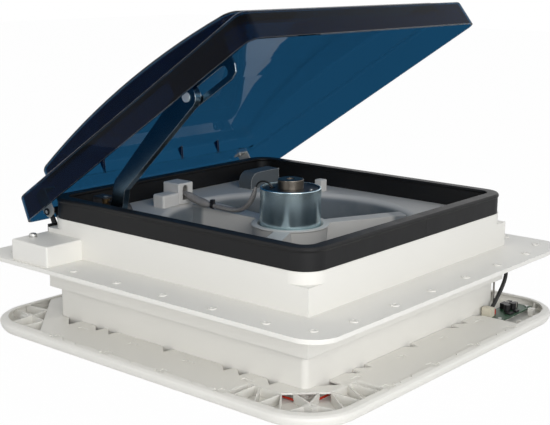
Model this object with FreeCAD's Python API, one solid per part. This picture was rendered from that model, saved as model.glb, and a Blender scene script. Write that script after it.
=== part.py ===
"""Two-way roof ventilation fan for a caravan or camper, as separate named pieces.

Millimetres, +Z up. The origin is the centre of the roof flange's top face. The hinge of the
lid is at the back (+Y), and the lid stands open as in the photograph.
"""
import FreeCAD
import Part
import math
import os

V = FreeCAD.Vector
os.makedirs("parts", exist_ok=True)

# General
wall = 2.5                 # usual wall of the mouldings
overlap = 0.5              # how far two shapes run into each other before they are joined
snug = 0.02                # gap round a pin that is fixed in its hole
running = 0.05             # gap round a shaft that turns in its hole

# Roof frame: flange, riser above it and stub below it. The riser's half width and top
# carry the sizes of all that is fitted to them.
riser_half = 198.3
riser_top = 43.5
flange_half = riser_half + 56.7
flange_corner = 32.0
flange_thick = 5.0
riser_wall = 3.0
riser_step = riser_top - 13.5   # above this height the corners of the riser are rounded
riser_corner = 27.0
stub_bottom = -43.5
riser_inside = riser_half - riser_wall
inside_corner = riser_corner - riser_wall
plate_top = riser_top - 1.5
plate_thick = 3.0
ledge_half = riser_half - 12.3  # inner edge of the ledge that carries the fan plate
ledge_top = plate_top - plate_thick
ledge_low = ledge_top - 3.0
hole_line = flange_half - 16.3  # distance of the roof screw rows from the centre
hole_step = (flange_half - 6.5) / 7
hole_steps = [hole_step, 3 * hole_step, 5 * hole_step]
hole_corner = flange_half - 28.0
hole_radius = 2.25
boss_radius = 5.0
boss_height = 1.2

# Rim gasket
seal_half = riser_half - 0.8
seal_corner = riser_corner
seal_inner = ledge_half
seal_band_top = riser_top + 19.5
seal_top = riser_top + 24.8
seal_lip = 1.0
seam_x = 15.0
seam_gap = 0.4

# Fan plate with bell mouth and motor cradle
plate_half = riser_inside - 0.3
plate_corner = inside_corner - 0.3
fan_y = -15.0              # the fan's axis stands at x = 0 and this y
throat_radius = plate_half - 47.0
bell_radius = 10.0
duct_bottom = plate_top - 52.0
cup_top = plate_top - 7.5
cup_floor = cup_top - 19.5
cup_bottom = cup_floor - 3.0
spoke_low = cup_bottom - 1.0

# Motor
can_radius = 37.0
can_wall = 1.8
cup_inner = can_radius + 2.7
cup_outer = cup_inner + 6.3
can_top = cup_floor + 63.6
cap_z = can_top - 1.2
cap_thick = 2.5
housing_radius = 15.7
housing_top = can_top + 10.0
shaft_radius = 4.0
shaft_low = plate_top - 60.0
shaft_top = housing_top - 1.2
magnet_inner = can_radius - 7.5
core_radius = magnet_inner - 1.0
core_low = cup_floor + 12.0
core_high = can_top - 15.6
commutator_radius = 9.0
commutator_high = core_high + 10.0

# Impeller
hub_radius = 42.0
hub_low = shaft_low + 2.0
hub_top = hub_low + 23.0
tip_radius = throat_radius - 5.0
blade_count = 10
blade_thick = 2.0
root_chord = 34.0
root_pitch = 38.0
tip_chord = 54.0
tip_pitch = 21.0
blade_mid = hub_low + 11.0

# Lid, drawn closed and then turned about its hinge
open_angle = 33.5
hinge_y = riser_half + 13.7
hinge_z = riser_top + 1.5
lid_back = hinge_y + 17.3  # y of the back rim, lid closed
lid_length = lid_back + riser_half + 4.4
lid_rim = riser_top - 2.1  # z of the rim, lid closed
lid_half = riser_half + 15.7
lid_corner = 14.0
lid_wall = 2.5
skirt_height = 32.8
side_draft = 4.0
end_draft = 1.5
skirt_edge = 4.0
dome_half = lid_half - 19.0
dome_back = 39.5
dome_front = lid_length - 24.5
dome_corner = 16.0
dome_height = 62.3
crown_radius = 1150.0
crown_shift = 5.0  # how far the top of the crown lies behind the middle
dome_edge = 6.0
gusset_places = [-100.0, -30.0, 40.0, 112.0]

# Lid hinges
hinge_pin_radius = 3.2
hinge_plate_x = riser_half - 11.8
hinge_plate_thick = 1.6
ear_radius = 4.4
ear_inner_x = hinge_plate_x - 13.0
ear_outer_x = hinge_plate_x - 3.4
ear_thick = 2.5

# Lift arm, its pivot and the slotted rail on the lid
gear_x = 48.5 - plate_half  # plane of the lift gear, at the left of the fan plate
pivot_y = plate_half - 74.0
pivot_z = plate_top + 12.0
arm_length = 185.5
arm_angle = 51.11          # arm above the horizontal, lid as in the photograph
arm_web_x = gear_x - 12.5
arm_web = 1.5
arm_flange_x = gear_x - 3.5
arm_half = 9.35
arm_head = 13.5
arm_foot = 9.9
elbow_y = pivot_y - 7.0
elbow_z = pivot_z + 32.0
lift_shaft_radius = 3.0
rail_x = gear_x - 1.5
rail_datum = hinge_y + 10.8  # y that the rail is measured back from, lid closed
rail_thick = 1.6
rail_slot_h = 17.0
rail_slot_half = 5.95
rail_slot_from = 258.0
rail_slot_to = 322.0
rail_low = 4.5
rail_top = 50.0
rail_from = 244.0
rail_to = 341.0
arm_pin_radius = 5.0

# Worm drive of the lift arm
gear_module = 2.0
gear_teeth = 24
gear_width = 4.0
worm_radius = 7.0
worm_low = pivot_z - 9.5
worm_high = pivot_z + 9.5
tooth_gap = 1.0            # play between worm and gear, shared by both
crank_radius = 3.0
knob_radius = 22.0

# Cable housing on the flange
housing_x0 = 4.6 - flange_half
housing_y1 = riser_half + 3.7
housing_y0 = housing_y1 - 64.0
housing_z = 24.5
housing_screw_x = housing_x0 + 22.4
housing_screw_y = housing_y1 - 12.0

# Collar and trim ring
collar_half = riser_inside - 4.8
collar_corner = 7.0
collar_top = -30.0
ring_bottom = -93.0
ring_floor = ring_bottom + 2.5
ring_top = ring_bottom + 11.0
band_top = ring_bottom + 13.0
lip_top = ring_bottom + 14.8
collar_bottom = ring_floor
ring_half = flange_half + 4.5
ring_foot = ring_half - 7.0
ring_corner = 62.0
ring_inner = collar_half - 10.5
lip_width = 10.0
band_inner = collar_half + 0.5
band_wall = 2.0
plain_cut = 151.0          # where a plain pocket's edge meets the rim
front_edge = ring_half - 46.5
front_cut = front_edge - 36.0
front_step = 132.0
board_cut = 150.0
post_place = ring_half - 40.5
post_half = 6.0
post_hole = 2.2
window_places = [-153.0, -112.0, -90.0, 0.0, 90.0, 112.0, 153.0]
notch_places = [-112.0, -90.0, 0.0, 90.0, 112.0]
box_notches = [-128.0, -43.0, 43.0, 128.0]

# Knob and insect screen, in the room inside the collar
knob_low = ring_bottom + 5.0
knob_high = knob_low + 22.0
screen_half = collar_half - 3.1
screen_width = 12.0
screen_low = knob_high + 4.0
screen_high = screen_low + 6.0
screen_cloth = 0.4

# Controls in the corner of the trim ring
board_x = ring_half - 64.5
board_y = collar_half + 17.7
board_length = 78.0
board_width = 29.6
board_low = ring_bottom + 8.4
board_thick = 1.6
button_radius = 4.6
button_step = 15.5
button_low = ring_bottom + 0.5
button_collar_low = ring_bottom + 2.8
button_collar_high = ring_bottom + 4.2
button_collar_radius = 5.8
button_guide = 0.3
button_travel = 1.0
gear_radius = gear_module * gear_teeth / 2
worm_pitch = gear_module * math.pi
worm_y = pivot_y + gear_radius + worm_radius


def save(shape, name):
    """Writes one piece, or one group of alike pieces, to its own file."""
    shape.exportStep("parts/" + name + ".step")
    print(name, len(shape.Solids), "solids", round(shape.Volume), "mm3", shape.isValid())


def group(shapes):
    return Part.makeCompound(shapes)


def box(x0, x1, y0, y1, z0, z1):
    return Part.makeBox(x1 - x0, y1 - y0, z1 - z0, V(x0, y0, z0))


def disc(x, y, z0, z1, radius):
    return Part.makeCylinder(radius, z1 - z0, V(x, y, z0))


def pipe(x, y, z0, z1, outer, inner):
    return disc(x, y, z0, z1, outer).cut(disc(x, y, z0 - overlap, z1 + overlap, inner))


def rod_x(x0, x1, y, z, radius):
    return Part.makeCylinder(radius, x1 - x0, V(x0, y, z), V(1, 0, 0))


def prism(points, z0, z1):
    """A straight prism on a plan given as (x, y) points."""
    ring = [V(x, y, z0) for x, y in points]
    return Part.Face(Part.makePolygon(ring + ring[:1])).extrude(V(0, 0, z1 - z0))


def prism_x(points, x0, x1):
    """A straight prism along X on a side view given as (y, z) points."""
    ring = [V(x0, y, z) for y, z in points]
    return Part.Face(Part.makePolygon(ring + ring[:1])).extrude(V(x1 - x0, 0, 0))


def rounded(half_x, half_y, corner, z0, z1, y=0.0):
    """A block with upright rounded corners, centred on x = 0."""
    block = box(-half_x, half_x, y - half_y, y + half_y, z0, z1)
    upright = [e for e in block.Edges if abs(e.tangentAt(e.FirstParameter).z) > 0.99]
    return block.makeFillet(corner, upright)


def rounded_wire(half_x, half_y, corner, y, z):
    """The rounded rectangle that a lofted skirt passes through."""
    block = rounded(half_x, half_y, corner, z, z + 1, y)
    low = min(block.Faces, key=lambda f: f.CenterOfMass.z)
    return low.OuterWire


def carried(points, corner_x, corner_y, y=0.0):
    """Carries a section of (distance out, z) points round a rounded rectangle."""
    spots = [(1, 1), (-1, 1), (-1, -1), (1, -1)]
    centres = [V(corner_x * sx, y + corner_y * sy, 0) for sx, sy in spots]
    solids = []
    for k in range(4):
        out = V(round(math.cos(math.pi * k / 2)), round(math.sin(math.pi * k / 2)), 0)
        here = centres[k]
        before = centres[k - 1]
        start = [before + out * t + V(0, 0, z) for t, z in points]
        solids.append(Part.Face(Part.makePolygon(start + start[:1])).extrude(here - before))
        start = [here + out * t + V(0, 0, z) for t, z in points]
        turned = Part.Face(Part.makePolygon(start + start[:1])).revolve(here, V(0, 0, 1), 90)
        solids.append(turned)
    return solids[0].multiFuse(solids[1:]).removeSplitter()


def turned(points, x, y):
    """A solid of revolution about the upright line at x, y, from (radius, z) points."""
    ring = [V(x + r, y, z) for r, z in points]
    face = Part.Face(Part.makePolygon(ring + ring[:1]))
    return face.revolve(V(x, y, 0), V(0, 0, 1), 360)


def four(shape):
    """The shape and its three quarter turns about the centre."""
    copies = []
    for k in range(4):
        copy = shape.copy()
        copy.rotate(V(0, 0, 0), V(0, 0, 1), 90 * k)
        copies.append(copy)
    return copies


def mirrored(shape):
    return shape.mirror(V(0, 0, 0), V(1, 0, 0))


def opened(shape):
    """Turns a shape drawn with the lid closed to the lid's place in the photograph."""
    copy = shape.copy()
    copy.rotate(V(0, hinge_y, hinge_z), V(1, 0, 0), -open_angle)
    return copy


def hull(circles, x0, x1):
    """The outline round two circles (y, z, radius), as a plate from x0 to x1."""
    (ya, za, ra), (yb, zb, rb) = circles
    far = math.hypot(yb - ya, zb - za)
    along = math.atan2(zb - za, yb - ya)
    lean = math.acos((ra - rb) / far)
    points = []
    for side in (1, -1):
        turn = along + side * lean
        pair = [(ya + ra * math.cos(turn), za + ra * math.sin(turn))]
        pair.append((yb + rb * math.cos(turn), zb + rb * math.sin(turn)))
        points += pair[::side]
    web = prism_x(points, x0, x1)
    return web.multiFuse([rod_x(x0, x1, ya, za, ra), rod_x(x0, x1, yb, zb, rb)])


def cable(points, radius, bend):
    """A round lead along straight runs joined by tangent arcs."""
    spots = [V(*p) for p in points]
    pieces = []
    start = spots[0]
    for k in range(1, len(spots) - 1):
        ahead = (spots[k] - spots[k - 1]).normalize()
        after = (spots[k + 1] - spots[k]).normalize()
        half_turn = ahead.getAngle(after) / 2
        shorter = min((spots[k] - spots[k - 1]).Length, (spots[k + 1] - spots[k]).Length)
        arc_radius = min(bend, 0.45 * shorter / math.tan(half_turn))
        back = arc_radius * math.tan(half_turn)
        first = spots[k] - ahead * back
        axis = ahead.cross(after).normalize()
        centre = first + axis.cross(ahead) * arc_radius
        pieces.append(Part.makeCylinder(radius, (first - start).Length, start, ahead))
        ring = Part.Face(Part.Wire(Part.makeCircle(radius, first, ahead)))
        pieces.append(ring.revolve(centre, axis, math.degrees(2 * half_turn)))
        start = spots[k] + after * back
    last = (spots[-1] - start)
    pieces.append(Part.makeCylinder(radius, last.Length, start, last))
    return pieces[0].multiFuse(pieces[1:])


def screw(x, y, seat, tip, head_radius, head_high, shank_radius):
    """A pan-head screw, its head on the seat and its shank going to the tip."""
    way = 1 if tip < seat else -1
    head = disc(x, y, min(seat, seat + way * head_high), max(seat, seat + way * head_high), head_radius)
    rim = [e for e in head.Edges if abs(e.CenterOfMass.z - seat) > head_high / 2]
    rim = [e for e in rim if e.Length > head_radius and abs(e.tangentAt(0).z) < 0.01]
    head = head.makeFillet(head_high * 0.45, rim)
    shank = disc(x, y, min(seat, tip), max(seat, tip), shank_radius)
    slot_z = seat + way * head_high
    slot_deep = head_high * 0.4
    z0 = min(slot_z, slot_z - way * slot_deep)
    z1 = max(slot_z, slot_z - way * slot_deep)
    long = head_radius * 0.55
    thin = head_radius * 0.13
    cross = box(x - long, x + long, y - thin, y + thin, z0, z1)
    cross = cross.fuse(box(x - thin, x + thin, y - long, y + long, z0, z1))
    return head.fuse(shank).cut(cross).removeSplitter()


# Roof frame
flange = rounded(flange_half, flange_half, flange_corner, -flange_thick, 0)
lower_box = box(-riser_half, riser_half, -riser_half, riser_half, stub_bottom, riser_step)
upper_box = rounded(riser_half, riser_half, riser_corner, riser_step - overlap, riser_top)
roof_frame = flange.fuse(lower_box).fuse(upper_box)
hole_spots = []
for step in hole_steps:
    for along in (step, -step):
        hole_spots += [(along, hole_line), (along, -hole_line), (hole_line, along)]
        if along != hole_steps[2]:
            hole_spots.append((-hole_line, along))
for sx, sy in [(1, 1), (1, -1), (-1, 1), (-1, -1)]:
    hole_spots.append((sx * hole_corner, sy * hole_corner))
roof_frame = roof_frame.multiFuse([disc(x, y, -1, boss_height, boss_radius) for x, y in hole_spots])
step_inside = riser_step - riser_wall
low_room = box(-riser_inside, riser_inside, -riser_inside, riser_inside, stub_bottom - 1, step_inside)
high_room = rounded(riser_inside, riser_inside, inside_corner, step_inside - 1, riser_top + 1)
roof_frame = roof_frame.cut(low_room.fuse(high_room))
ledge = rounded(riser_inside + overlap, riser_inside + overlap, inside_corner, ledge_low, ledge_top)
ledge = ledge.cut(rounded(ledge_half, ledge_half, inside_corner - 9, 0, plate_top))
roof_frame = roof_frame.fuse(ledge)
roof_holes = [disc(x, y, -10, 10, hole_radius) for x, y in hole_spots]
cable_slot = box(-riser_half - 1, -riser_inside + 1, housing_y0 + 24, housing_y0 + 40, 4, 16)
lead_hole_y = 18.3 - riser_half
lead_hole_z = -22.0
lead_hole = rod_x(riser_inside - 1, riser_half + 1, lead_hole_y, lead_hole_z, 4.0)
housing_hole = disc(housing_screw_x, housing_screw_y, -10, 1, 1.5 + snug)
roof_frame = roof_frame.cut(group(roof_holes + [cable_slot, lead_hole, housing_hole]))
plate_screw_line = ledge_half + 4.6
plate_screw_radius = 1.5
plate_screw_spots = [(a, plate_screw_line) for a in (-120.0, 120.0)]
plate_screw_spots += [(a, -plate_screw_line) for a in (-120.0, 120.0)]
plate_screw_spots += [(plate_screw_line, a) for a in (-120.0, 120.0)]
plate_screw_spots += [(-plate_screw_line, a) for a in (-120.0, 120.0)]
screw_ways = [disc(x, y, ledge_low - 6, plate_top - 0.8, plate_screw_radius + snug) for x, y in plate_screw_spots]
roof_frame = roof_frame.cut(group(screw_ways))
hinge_wall_screws = []
for x in (hinge_plate_x - 22.0, hinge_plate_x - 8.2):
    for side in (1, -1):
        hinge_wall_screws.append((side * x, 18.0))
wall_ways = []
for x, z in hinge_wall_screws:
    wall_ways.append(Part.makeCylinder(1.5 + snug, 12, V(x, riser_inside - 3, z), V(0, 1, 0)))
roof_frame = roof_frame.cut(group(wall_ways))
save(roof_frame, "roof_frame")

# Rim gasket: one extruded strip bent round the riser, with a butt joint at the front
seal_section = [
    (seal_inner - seal_half + seal_corner, plate_top),
    (plate_half + 0.3 - seal_half + seal_corner, plate_top),
    (plate_half + 0.3 - seal_half + seal_corner, riser_top),
    (seal_corner, riser_top),
    (seal_corner, seal_band_top - 0.5),
    (seal_corner + seal_lip - 0.5, seal_band_top + 0.5),
    (seal_corner + seal_lip, seal_band_top + 1.5),
    (seal_corner + seal_lip, seal_band_top + 3.0),
    (seal_corner + seal_lip - 0.8, seal_top - 1.0),
    (seal_corner - 0.5, seal_top - 0.3),
    (seal_inner - seal_half + seal_corner - 1.2, seal_top),
    (seal_inner - seal_half + seal_corner - 2.0, seal_top - 0.8),
    (seal_inner - seal_half + seal_corner - 2.0, seal_top - 2.5),
    (seal_inner - seal_half + seal_corner, seal_top - 4.5),
]
seal_run = seal_half - seal_corner
rim_gasket = carried(seal_section, seal_run, seal_run)
seam = box(seam_x - seam_gap / 2, seam_x + seam_gap / 2, -seal_half - 12, 6 - seal_inner, 30, seal_top + 12)
rim_gasket = rim_gasket.cut(seam)
save(rim_gasket, "rim_gasket")

# Fan plate: flat tray, bell mouth, throat, three spokes and the motor cup in one moulding
tray = rounded(plate_half, plate_half, plate_corner, plate_top - plate_thick, plate_top)
tray = tray.cut(disc(0, fan_y, 0, plate_top + 1, throat_radius + bell_radius + 1))
bell = [(throat_radius, duct_bottom), (throat_radius + wall, duct_bottom)]
for k in range(0, 13):
    turn = math.pi - math.pi / 2 * k / 12
    x = throat_radius + bell_radius + (bell_radius - wall) * math.cos(turn)
    bell.append((x, plate_top - bell_radius + (bell_radius - wall) * math.sin(turn)))
bell.append((throat_radius + bell_radius + 2, plate_top - wall))
bell.append((throat_radius + bell_radius + 2, plate_top))
for k in range(12, -1, -1):
    turn = math.pi - math.pi / 2 * k / 12
    x = throat_radius + bell_radius + bell_radius * math.cos(turn)
    bell.append((x, plate_top - bell_radius + bell_radius * math.sin(turn)))
duct = turned(bell, 0, fan_y)
cup_section = [
    (8.5, cup_bottom), (cup_outer - 3, cup_bottom), (cup_outer - 1.5, cup_bottom + 1.5),
    (cup_outer, cup_top - 3), (cup_outer + 2, cup_top - 1.2), (cup_outer + 1, cup_top),
    (cup_inner + 1, cup_top), (cup_inner, cup_top - 1.5), (cup_inner - 1, cup_floor + 3),
    (cup_inner - 2.2, cup_floor), (8.5, cup_floor),
]
cup = turned(cup_section, 0, fan_y)


def spoke(near_half, far_half, near_top, far_top, bearing, shift):
    """A hollow spoke from the cup to the throat, open underneath."""
    near = cup_outer - 3
    far = throat_radius + 1
    solids = []
    for inset in (0, wall):
        a = near_half - inset
        b = far_half - inset
        low = spoke_low - (1 if inset else 0)
        ends = []
        for run, half, high in ((near, a, near_top - inset), (far, b, far_top - inset)):
            ring = [V(run, shift - half, low), V(run, shift + half, low)]
            ring += [V(run, shift + half - 2, high), V(run, shift - half + 2, high)]
            ends.append(Part.makePolygon(ring + ring[:1]))
        solids.append(Part.makeLoft(ends, True, True))
    arm = solids[0].cut(solids[1])
    arm.rotate(V(0, 0, 0), V(0, 0, 1), bearing)
    arm.translate(V(0, fan_y, 0))
    return arm


inner_room = disc(0, fan_y, cup_floor, cup_top + 5, cup_inner - 2.2)
spoke_far = plate_top - 5.0
spokes = [spoke(13, 18, cup_top, spoke_far + 1, 90, 0)]
spokes += [spoke(12, 13, cup_top - 1, spoke_far, bearing, 0) for bearing in (-32, 207)]
spokes = [s.cut(inner_room) for s in spokes]
fan_plate = tray.multiFuse([duct, cup] + spokes)
gear_slot = box(gear_x - 3.2, gear_x + 3.2, pivot_y + 1.5, pivot_y + 26, plate_top - 12, plate_top + 8)
crank_way = disc(gear_x, worm_y, plate_top - 13, plate_top + 8, crank_radius + running)
crank_boss = disc(gear_x, worm_y, plate_top - 12, plate_top - 1, crank_radius + 3.5)
fan_plate = fan_plate.fuse(crank_boss).cut(gear_slot.fuse(crank_way))
fan_plate = fan_plate.cut(group(screw_ways))
motor_screw_spots = [(-20.0, fan_y), (20.0, fan_y)]
motor_screw_radius = 2.0
motor_ways = [disc(x, y, cup_bottom - 7, cup_floor + 2.5, motor_screw_radius + snug)
              for x, y in motor_screw_spots]
loom_x = -30.0
block_y = plate_half - 50.0
loom_way = disc(loom_x + 1, block_y + 2, plate_top - 12, plate_top + 18, 5.5)
fan_plate = fan_plate.cut(group(motor_ways + [loom_way]))
bracket_spots = [(gear_x - 11.5, pivot_y - 15.5), (gear_x + 2.5, pivot_y - 15.5)]
bracket_spots += [(gear_x - 17.5, pivot_y + 39.5), (gear_x + 12.0, pivot_y + 39.5)]
block_spots = [(loom_x - 35.5, block_y), (loom_x + 9.0, block_y + 10)]
scoop_x = plate_half - 43.0
scoop_spots = [(scoop_x - 48, block_y + 0.5), (scoop_x - 12, block_y + 0.5)]
all_spots = bracket_spots + block_spots + scoop_spots
tapping_radius = 1.4
ways = [disc(x, y, plate_top - 12, plate_top + 1.6, tapping_radius + snug) for x, y in all_spots]
fan_plate = fan_plate.cut(group(ways))
save(fan_plate, "fan_plate")
plate_screws = []
for x, y in plate_screw_spots:
    plate_screws.append(screw(x, y, ledge_low, plate_top - 1, 2.8, 2.0, plate_screw_radius))
save(group(plate_screws), "plate_screws")

# Motor: steel can, end cap, bearing housing, magnets, brushes and the turning parts
can = disc(0, fan_y, cup_floor, can_top, can_radius)
outer_rims = [e for e in can.Edges if e.Length > can_radius and abs(e.tangentAt(0).z) < 0.01]
can = can.makeFillet(1.2, outer_rims)
can = can.cut(disc(0, fan_y, cup_floor + 2, can_top + 1, can_radius - can_wall))
shoulder = pipe(0, fan_y, cup_floor + 1, cup_floor + 10, 11, 8.5)
bush_way = disc(0, fan_y, 0, cup_floor + 9, 7.5)
can = can.fuse(shoulder).cut(bush_way)
can = can.cut(group(motor_ways))
save(can, "motor_can")
cap_radius = can_radius - can_wall - snug
cap_screw_spots = [(5.2, fan_y - 26.9), (-5.2, fan_y + 26.9)]
motor_cap = disc(0, fan_y, cap_z - cap_thick, cap_z, cap_radius)
motor_cap = motor_cap.cut(disc(0, fan_y, cap_z - 17, cap_z + 3, housing_radius - 3))
cap_ways = [disc(x, y, cap_z - 7, cap_z + 3, 1.0 + snug) for x, y in cap_screw_spots]
motor_cap = motor_cap.cut(group(cap_ways))
loom_in = V(-14.5, fan_y + 16.5, cap_z - 3.9)
motor_cap = motor_cap.cut(disc(loom_in.x, loom_in.y, cap_z - 17, cap_z + 3, 4.0))
save(motor_cap, "motor_cap")
cap_screws = [screw(x, y, cap_z, cap_z - cap_thick, 2.0, 1.2, 1.0) for x, y in cap_screw_spots]
save(group(cap_screws), "motor_cap_screws")
bearing_housing = disc(0, fan_y, cap_z, housing_top, housing_radius)
top_rim = [e for e in bearing_housing.Edges if e.CenterOfMass.z > housing_top - 0.1]
bearing_housing = bearing_housing.makeFillet(1.0, top_rim)
bearing_housing = bearing_housing.cut(disc(0, fan_y, cap_z - 7, housing_top - 1.5, housing_radius - 1.5))
seat = pipe(0, fan_y, cap_z + 1, housing_top - 1, 9.5, 7.5)
bearing_housing = bearing_housing.fuse(seat)
bearing_housing = bearing_housing.cut(disc(0, fan_y, cap_z - 7, housing_top + 1, 5.0))
bearing_housing = bearing_housing.cut(disc(0, fan_y, cap_z - 7, housing_top - 1.5, 7.5))
save(bearing_housing, "bearing_housing")
bushes = [pipe(0, fan_y, cup_floor + 1, cup_floor + 8, 7.5 - snug, shaft_radius + running)]
bushes.append(pipe(0, fan_y, cap_z + 1.6, housing_top - 2, 7.5 - snug, shaft_radius + running))
save(group(bushes), "motor_bushes")
magnet = pipe(0, fan_y, core_low - 2, core_high + 2, can_radius - can_wall - snug, magnet_inner)
gap_one = box(-60, 60, fan_y - 10, fan_y + 10, core_low - 7, core_high + 7)
magnets = magnet.cut(gap_one)
save(magnets, "motor_magnets")
clip_low = hub_low + 1.9
motor_shaft = disc(0, fan_y, shaft_low, shaft_top, shaft_radius)
motor_shaft = motor_shaft.cut(
    pipe(0, fan_y, clip_low - 0.1, clip_low + 1.1, shaft_radius + 1, shaft_radius - 0.8))
save(motor_shaft, "motor_shaft")
armature = pipe(0, fan_y, core_low, core_high, core_radius, shaft_radius + snug)
slots = []
for k in range(12):
    slot = box(core_radius - 9, core_radius + 1, -1.2, 1.2, core_low - 1, core_high + 1)
    pocket = disc(core_radius - 9, 0, core_low - 1, core_high + 1, 3.4)
    slot = slot.fuse(pocket)
    slot.rotate(V(0, 0, 0), V(0, 0, 1), 30 * k)
    slot.translate(V(0, fan_y, 0))
    slots.append(slot)
armature = armature.cut(group(slots))
save(armature, "armature")
commutator = pipe(0, fan_y, core_high, commutator_high, commutator_radius, shaft_radius + snug)
save(commutator, "commutator")
brushes = []
for side in (1, -1):
    x0 = commutator_radius + 0.05
    brush_low = core_high + 2.5
    brush = box(x0, x0 + 8, fan_y - 2.5, fan_y + 2.5, brush_low, brush_low + 6)
    holder = box(x0 + 2, x0 + 14, fan_y - 4.5, fan_y + 4.5, brush_low - 1.5, cap_z - cap_thick)
    brush_way = box(x0 - 1, x0 + 8 + snug, fan_y - 2.6, fan_y + 2.6, brush_low - 0.1, brush_low + 6.1)
    holder = holder.cut(brush_way)
    for piece in (brush, holder):
        brushes.append(piece if side == 1 else mirrored(piece))
save(group(brushes), "brush_gear")
motor_screws = [screw(x, y, cup_bottom, cup_floor + 2, 3.6, 2.2, motor_screw_radius)
                for x, y in motor_screw_spots]
save(group(motor_screws), "motor_screws")

# Impeller: hub and ten twisted blades in one moulding, held by a ring on the shaft
hub = disc(0, 0, hub_low, hub_top, hub_radius)
hub = hub.makeFillet(3, [e for e in hub.Edges if e.CenterOfMass.z > hub_top - 0.1])
hub = hub.cut(disc(0, 0, hub_low - 1, hub_top - 3, hub_radius - 3))
hub = hub.fuse(disc(0, 0, hub_low + 3.2, hub_top - 1, 9))
ribs = []
for k in range(5):
    rib = box(5, hub_radius - 1, -1, 1, hub_low + 8, hub_top - 2)
    rib.rotate(V(0, 0, 0), V(0, 0, 1), 72 * k)
    ribs.append(rib)
hub = hub.multiFuse(ribs).cut(disc(0, 0, -50, 50, shaft_radius + snug))


def blade_end(run, chord, pitch):
    """The section of a blade at one distance from the axis."""
    lean = math.radians(pitch)
    ring = []
    for along, up in ((-0.5, 0), (0, 1), (0.5, 0), (0.5, -1), (0, 0), (-0.5, -1)):
        a = chord * along
        b = blade_thick * (up + 0.5) / 1.0
        y = a * math.cos(lean) - b * math.sin(lean)
        z = blade_mid + a * math.sin(lean) + b * math.cos(lean)
        ring.append(V(run, y, z))
    return Part.makePolygon(ring + ring[:1])


root = blade_end(hub_radius - 7, root_chord, root_pitch)
tip = blade_end(tip_radius + 10, tip_chord, tip_pitch)
blade = Part.makeLoft([root, tip], True, True)
annulus = pipe(0, 0, -60, 60, tip_radius, hub_radius - 1)
blade = blade.common(annulus)
blades = []
for k in range(blade_count):
    copy = blade.copy()
    copy.rotate(V(0, 0, 0), V(0, 0, 1), 360 / blade_count * k)
    blades.append(copy)
impeller = hub.multiFuse(blades)
impeller.translate(V(0, fan_y, 0))
save(impeller, "impeller")
clip = pipe(0, fan_y, clip_low, clip_low + 1.0, 8.0, shaft_radius - 0.8 + snug)
clip = clip.cut(box(-2.5, 2.5, fan_y, fan_y + 20, clip_low - 6, clip_low + 14))
save(clip, "impeller_clip")

# Wire block, scoop and post that stand on the fan plate
block_x = loom_x - 12.0
high_top = plate_top + 26.5
low_top = plate_top + 16.0
block_high = box(block_x, block_x + 26, block_y - 13, block_y + 15, plate_top, high_top)
block_low = box(block_x - 29, block_x - 1, block_y - 15, block_y + 5, plate_top, low_top)
block_high = block_high.makeFillet(1.6, [e for e in block_high.Edges if e.CenterOfMass.z > plate_top + 1])
block_low = block_low.makeFillet(3.0, [e for e in block_low.Edges if e.CenterOfMass.z > plate_top + 1])
bridge = box(block_x - 4, block_x + 2, block_y - 11, block_y + 2, plate_top, low_top - 2)
wire_block = block_high.fuse(block_low).fuse(bridge)
high_room = box(block_x + wall, block_x + 26 - wall, block_y - 13 + wall, block_y + 15 - wall,
                plate_top - 1, high_top - wall)
low_room = box(block_x - 29 + wall, block_x - 1 - wall, block_y - 15 + wall, block_y + 5 - wall,
               plate_top - 1, low_top - wall)
wire_block = wire_block.cut(high_room).cut(low_room)
window = box(block_x + 7, block_x + 16.5, block_y - 17, block_y - 7, plate_top + 5, plate_top + 19)
arch = Part.makeCylinder(4.75, 10, V(block_x + 11.75, block_y - 17, plate_top + 19), V(0, 1, 0))
wire_block = wire_block.cut(window.fuse(arch))
feet = [disc(x, y, plate_top, plate_top + 8, 3.2) for x, y in block_spots]
wire_block = wire_block.multiFuse(feet)
foot_ways = [disc(x, y, plate_top - 12, plate_top + 6, tapping_radius + snug) for x, y in block_spots]
wire_block = wire_block.cut(group(foot_ways))
save(wire_block, "wire_block")
scoop_top = plate_top + 22.0
scoop = box(scoop_x - 59, scoop_x, block_y - 17, block_y + 5, plate_top, scoop_top)
scoop_edges = [e for e in scoop.Edges if abs(e.tangentAt(e.FirstParameter).y) > 0.99]
scoop_edges = [e for e in scoop_edges
               if e.CenterOfMass.z > scoop_top - 4 and e.CenterOfMass.x < scoop_x - 32]
scoop = scoop.makeFillet(15, scoop_edges)
scoop_room = box(scoop_x - 54, scoop_x - 5, block_y - 14, block_y + 2.5, plate_top - 1, scoop_top - 4)
scoop_arch = Part.makeCylinder(40, 30, V(scoop_x - 29.5, block_y - 20, plate_top - 14), V(0, 1, 0))
scoop = scoop.cut(scoop_room.common(scoop_arch))
scoop = scoop.multiFuse([disc(x, y, plate_top, plate_top + 7, 3.2) for x, y in scoop_spots])
foot_ways = [disc(x, y, plate_top - 12, plate_top + 6, tapping_radius + snug) for x, y in scoop_spots]
scoop = scoop.cut(group(foot_ways))
save(scoop, "scoop_bracket")
rim_post_x = throat_radius + 4.0
rim_post = box(rim_post_x - 6, rim_post_x + 6, 49, 61, plate_top, plate_top + 15.5)
rim_post = rim_post.makeFillet(1.5, [e for e in rim_post.Edges if e.CenterOfMass.z > plate_top + 1])
save(rim_post, "rim_post")
block_screws = [screw(x, y, plate_top - 3, plate_top + 5, 2.6, 1.8, tapping_radius)
                for x, y in block_spots + scoop_spots]
save(group(block_screws), "block_screws")

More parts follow.
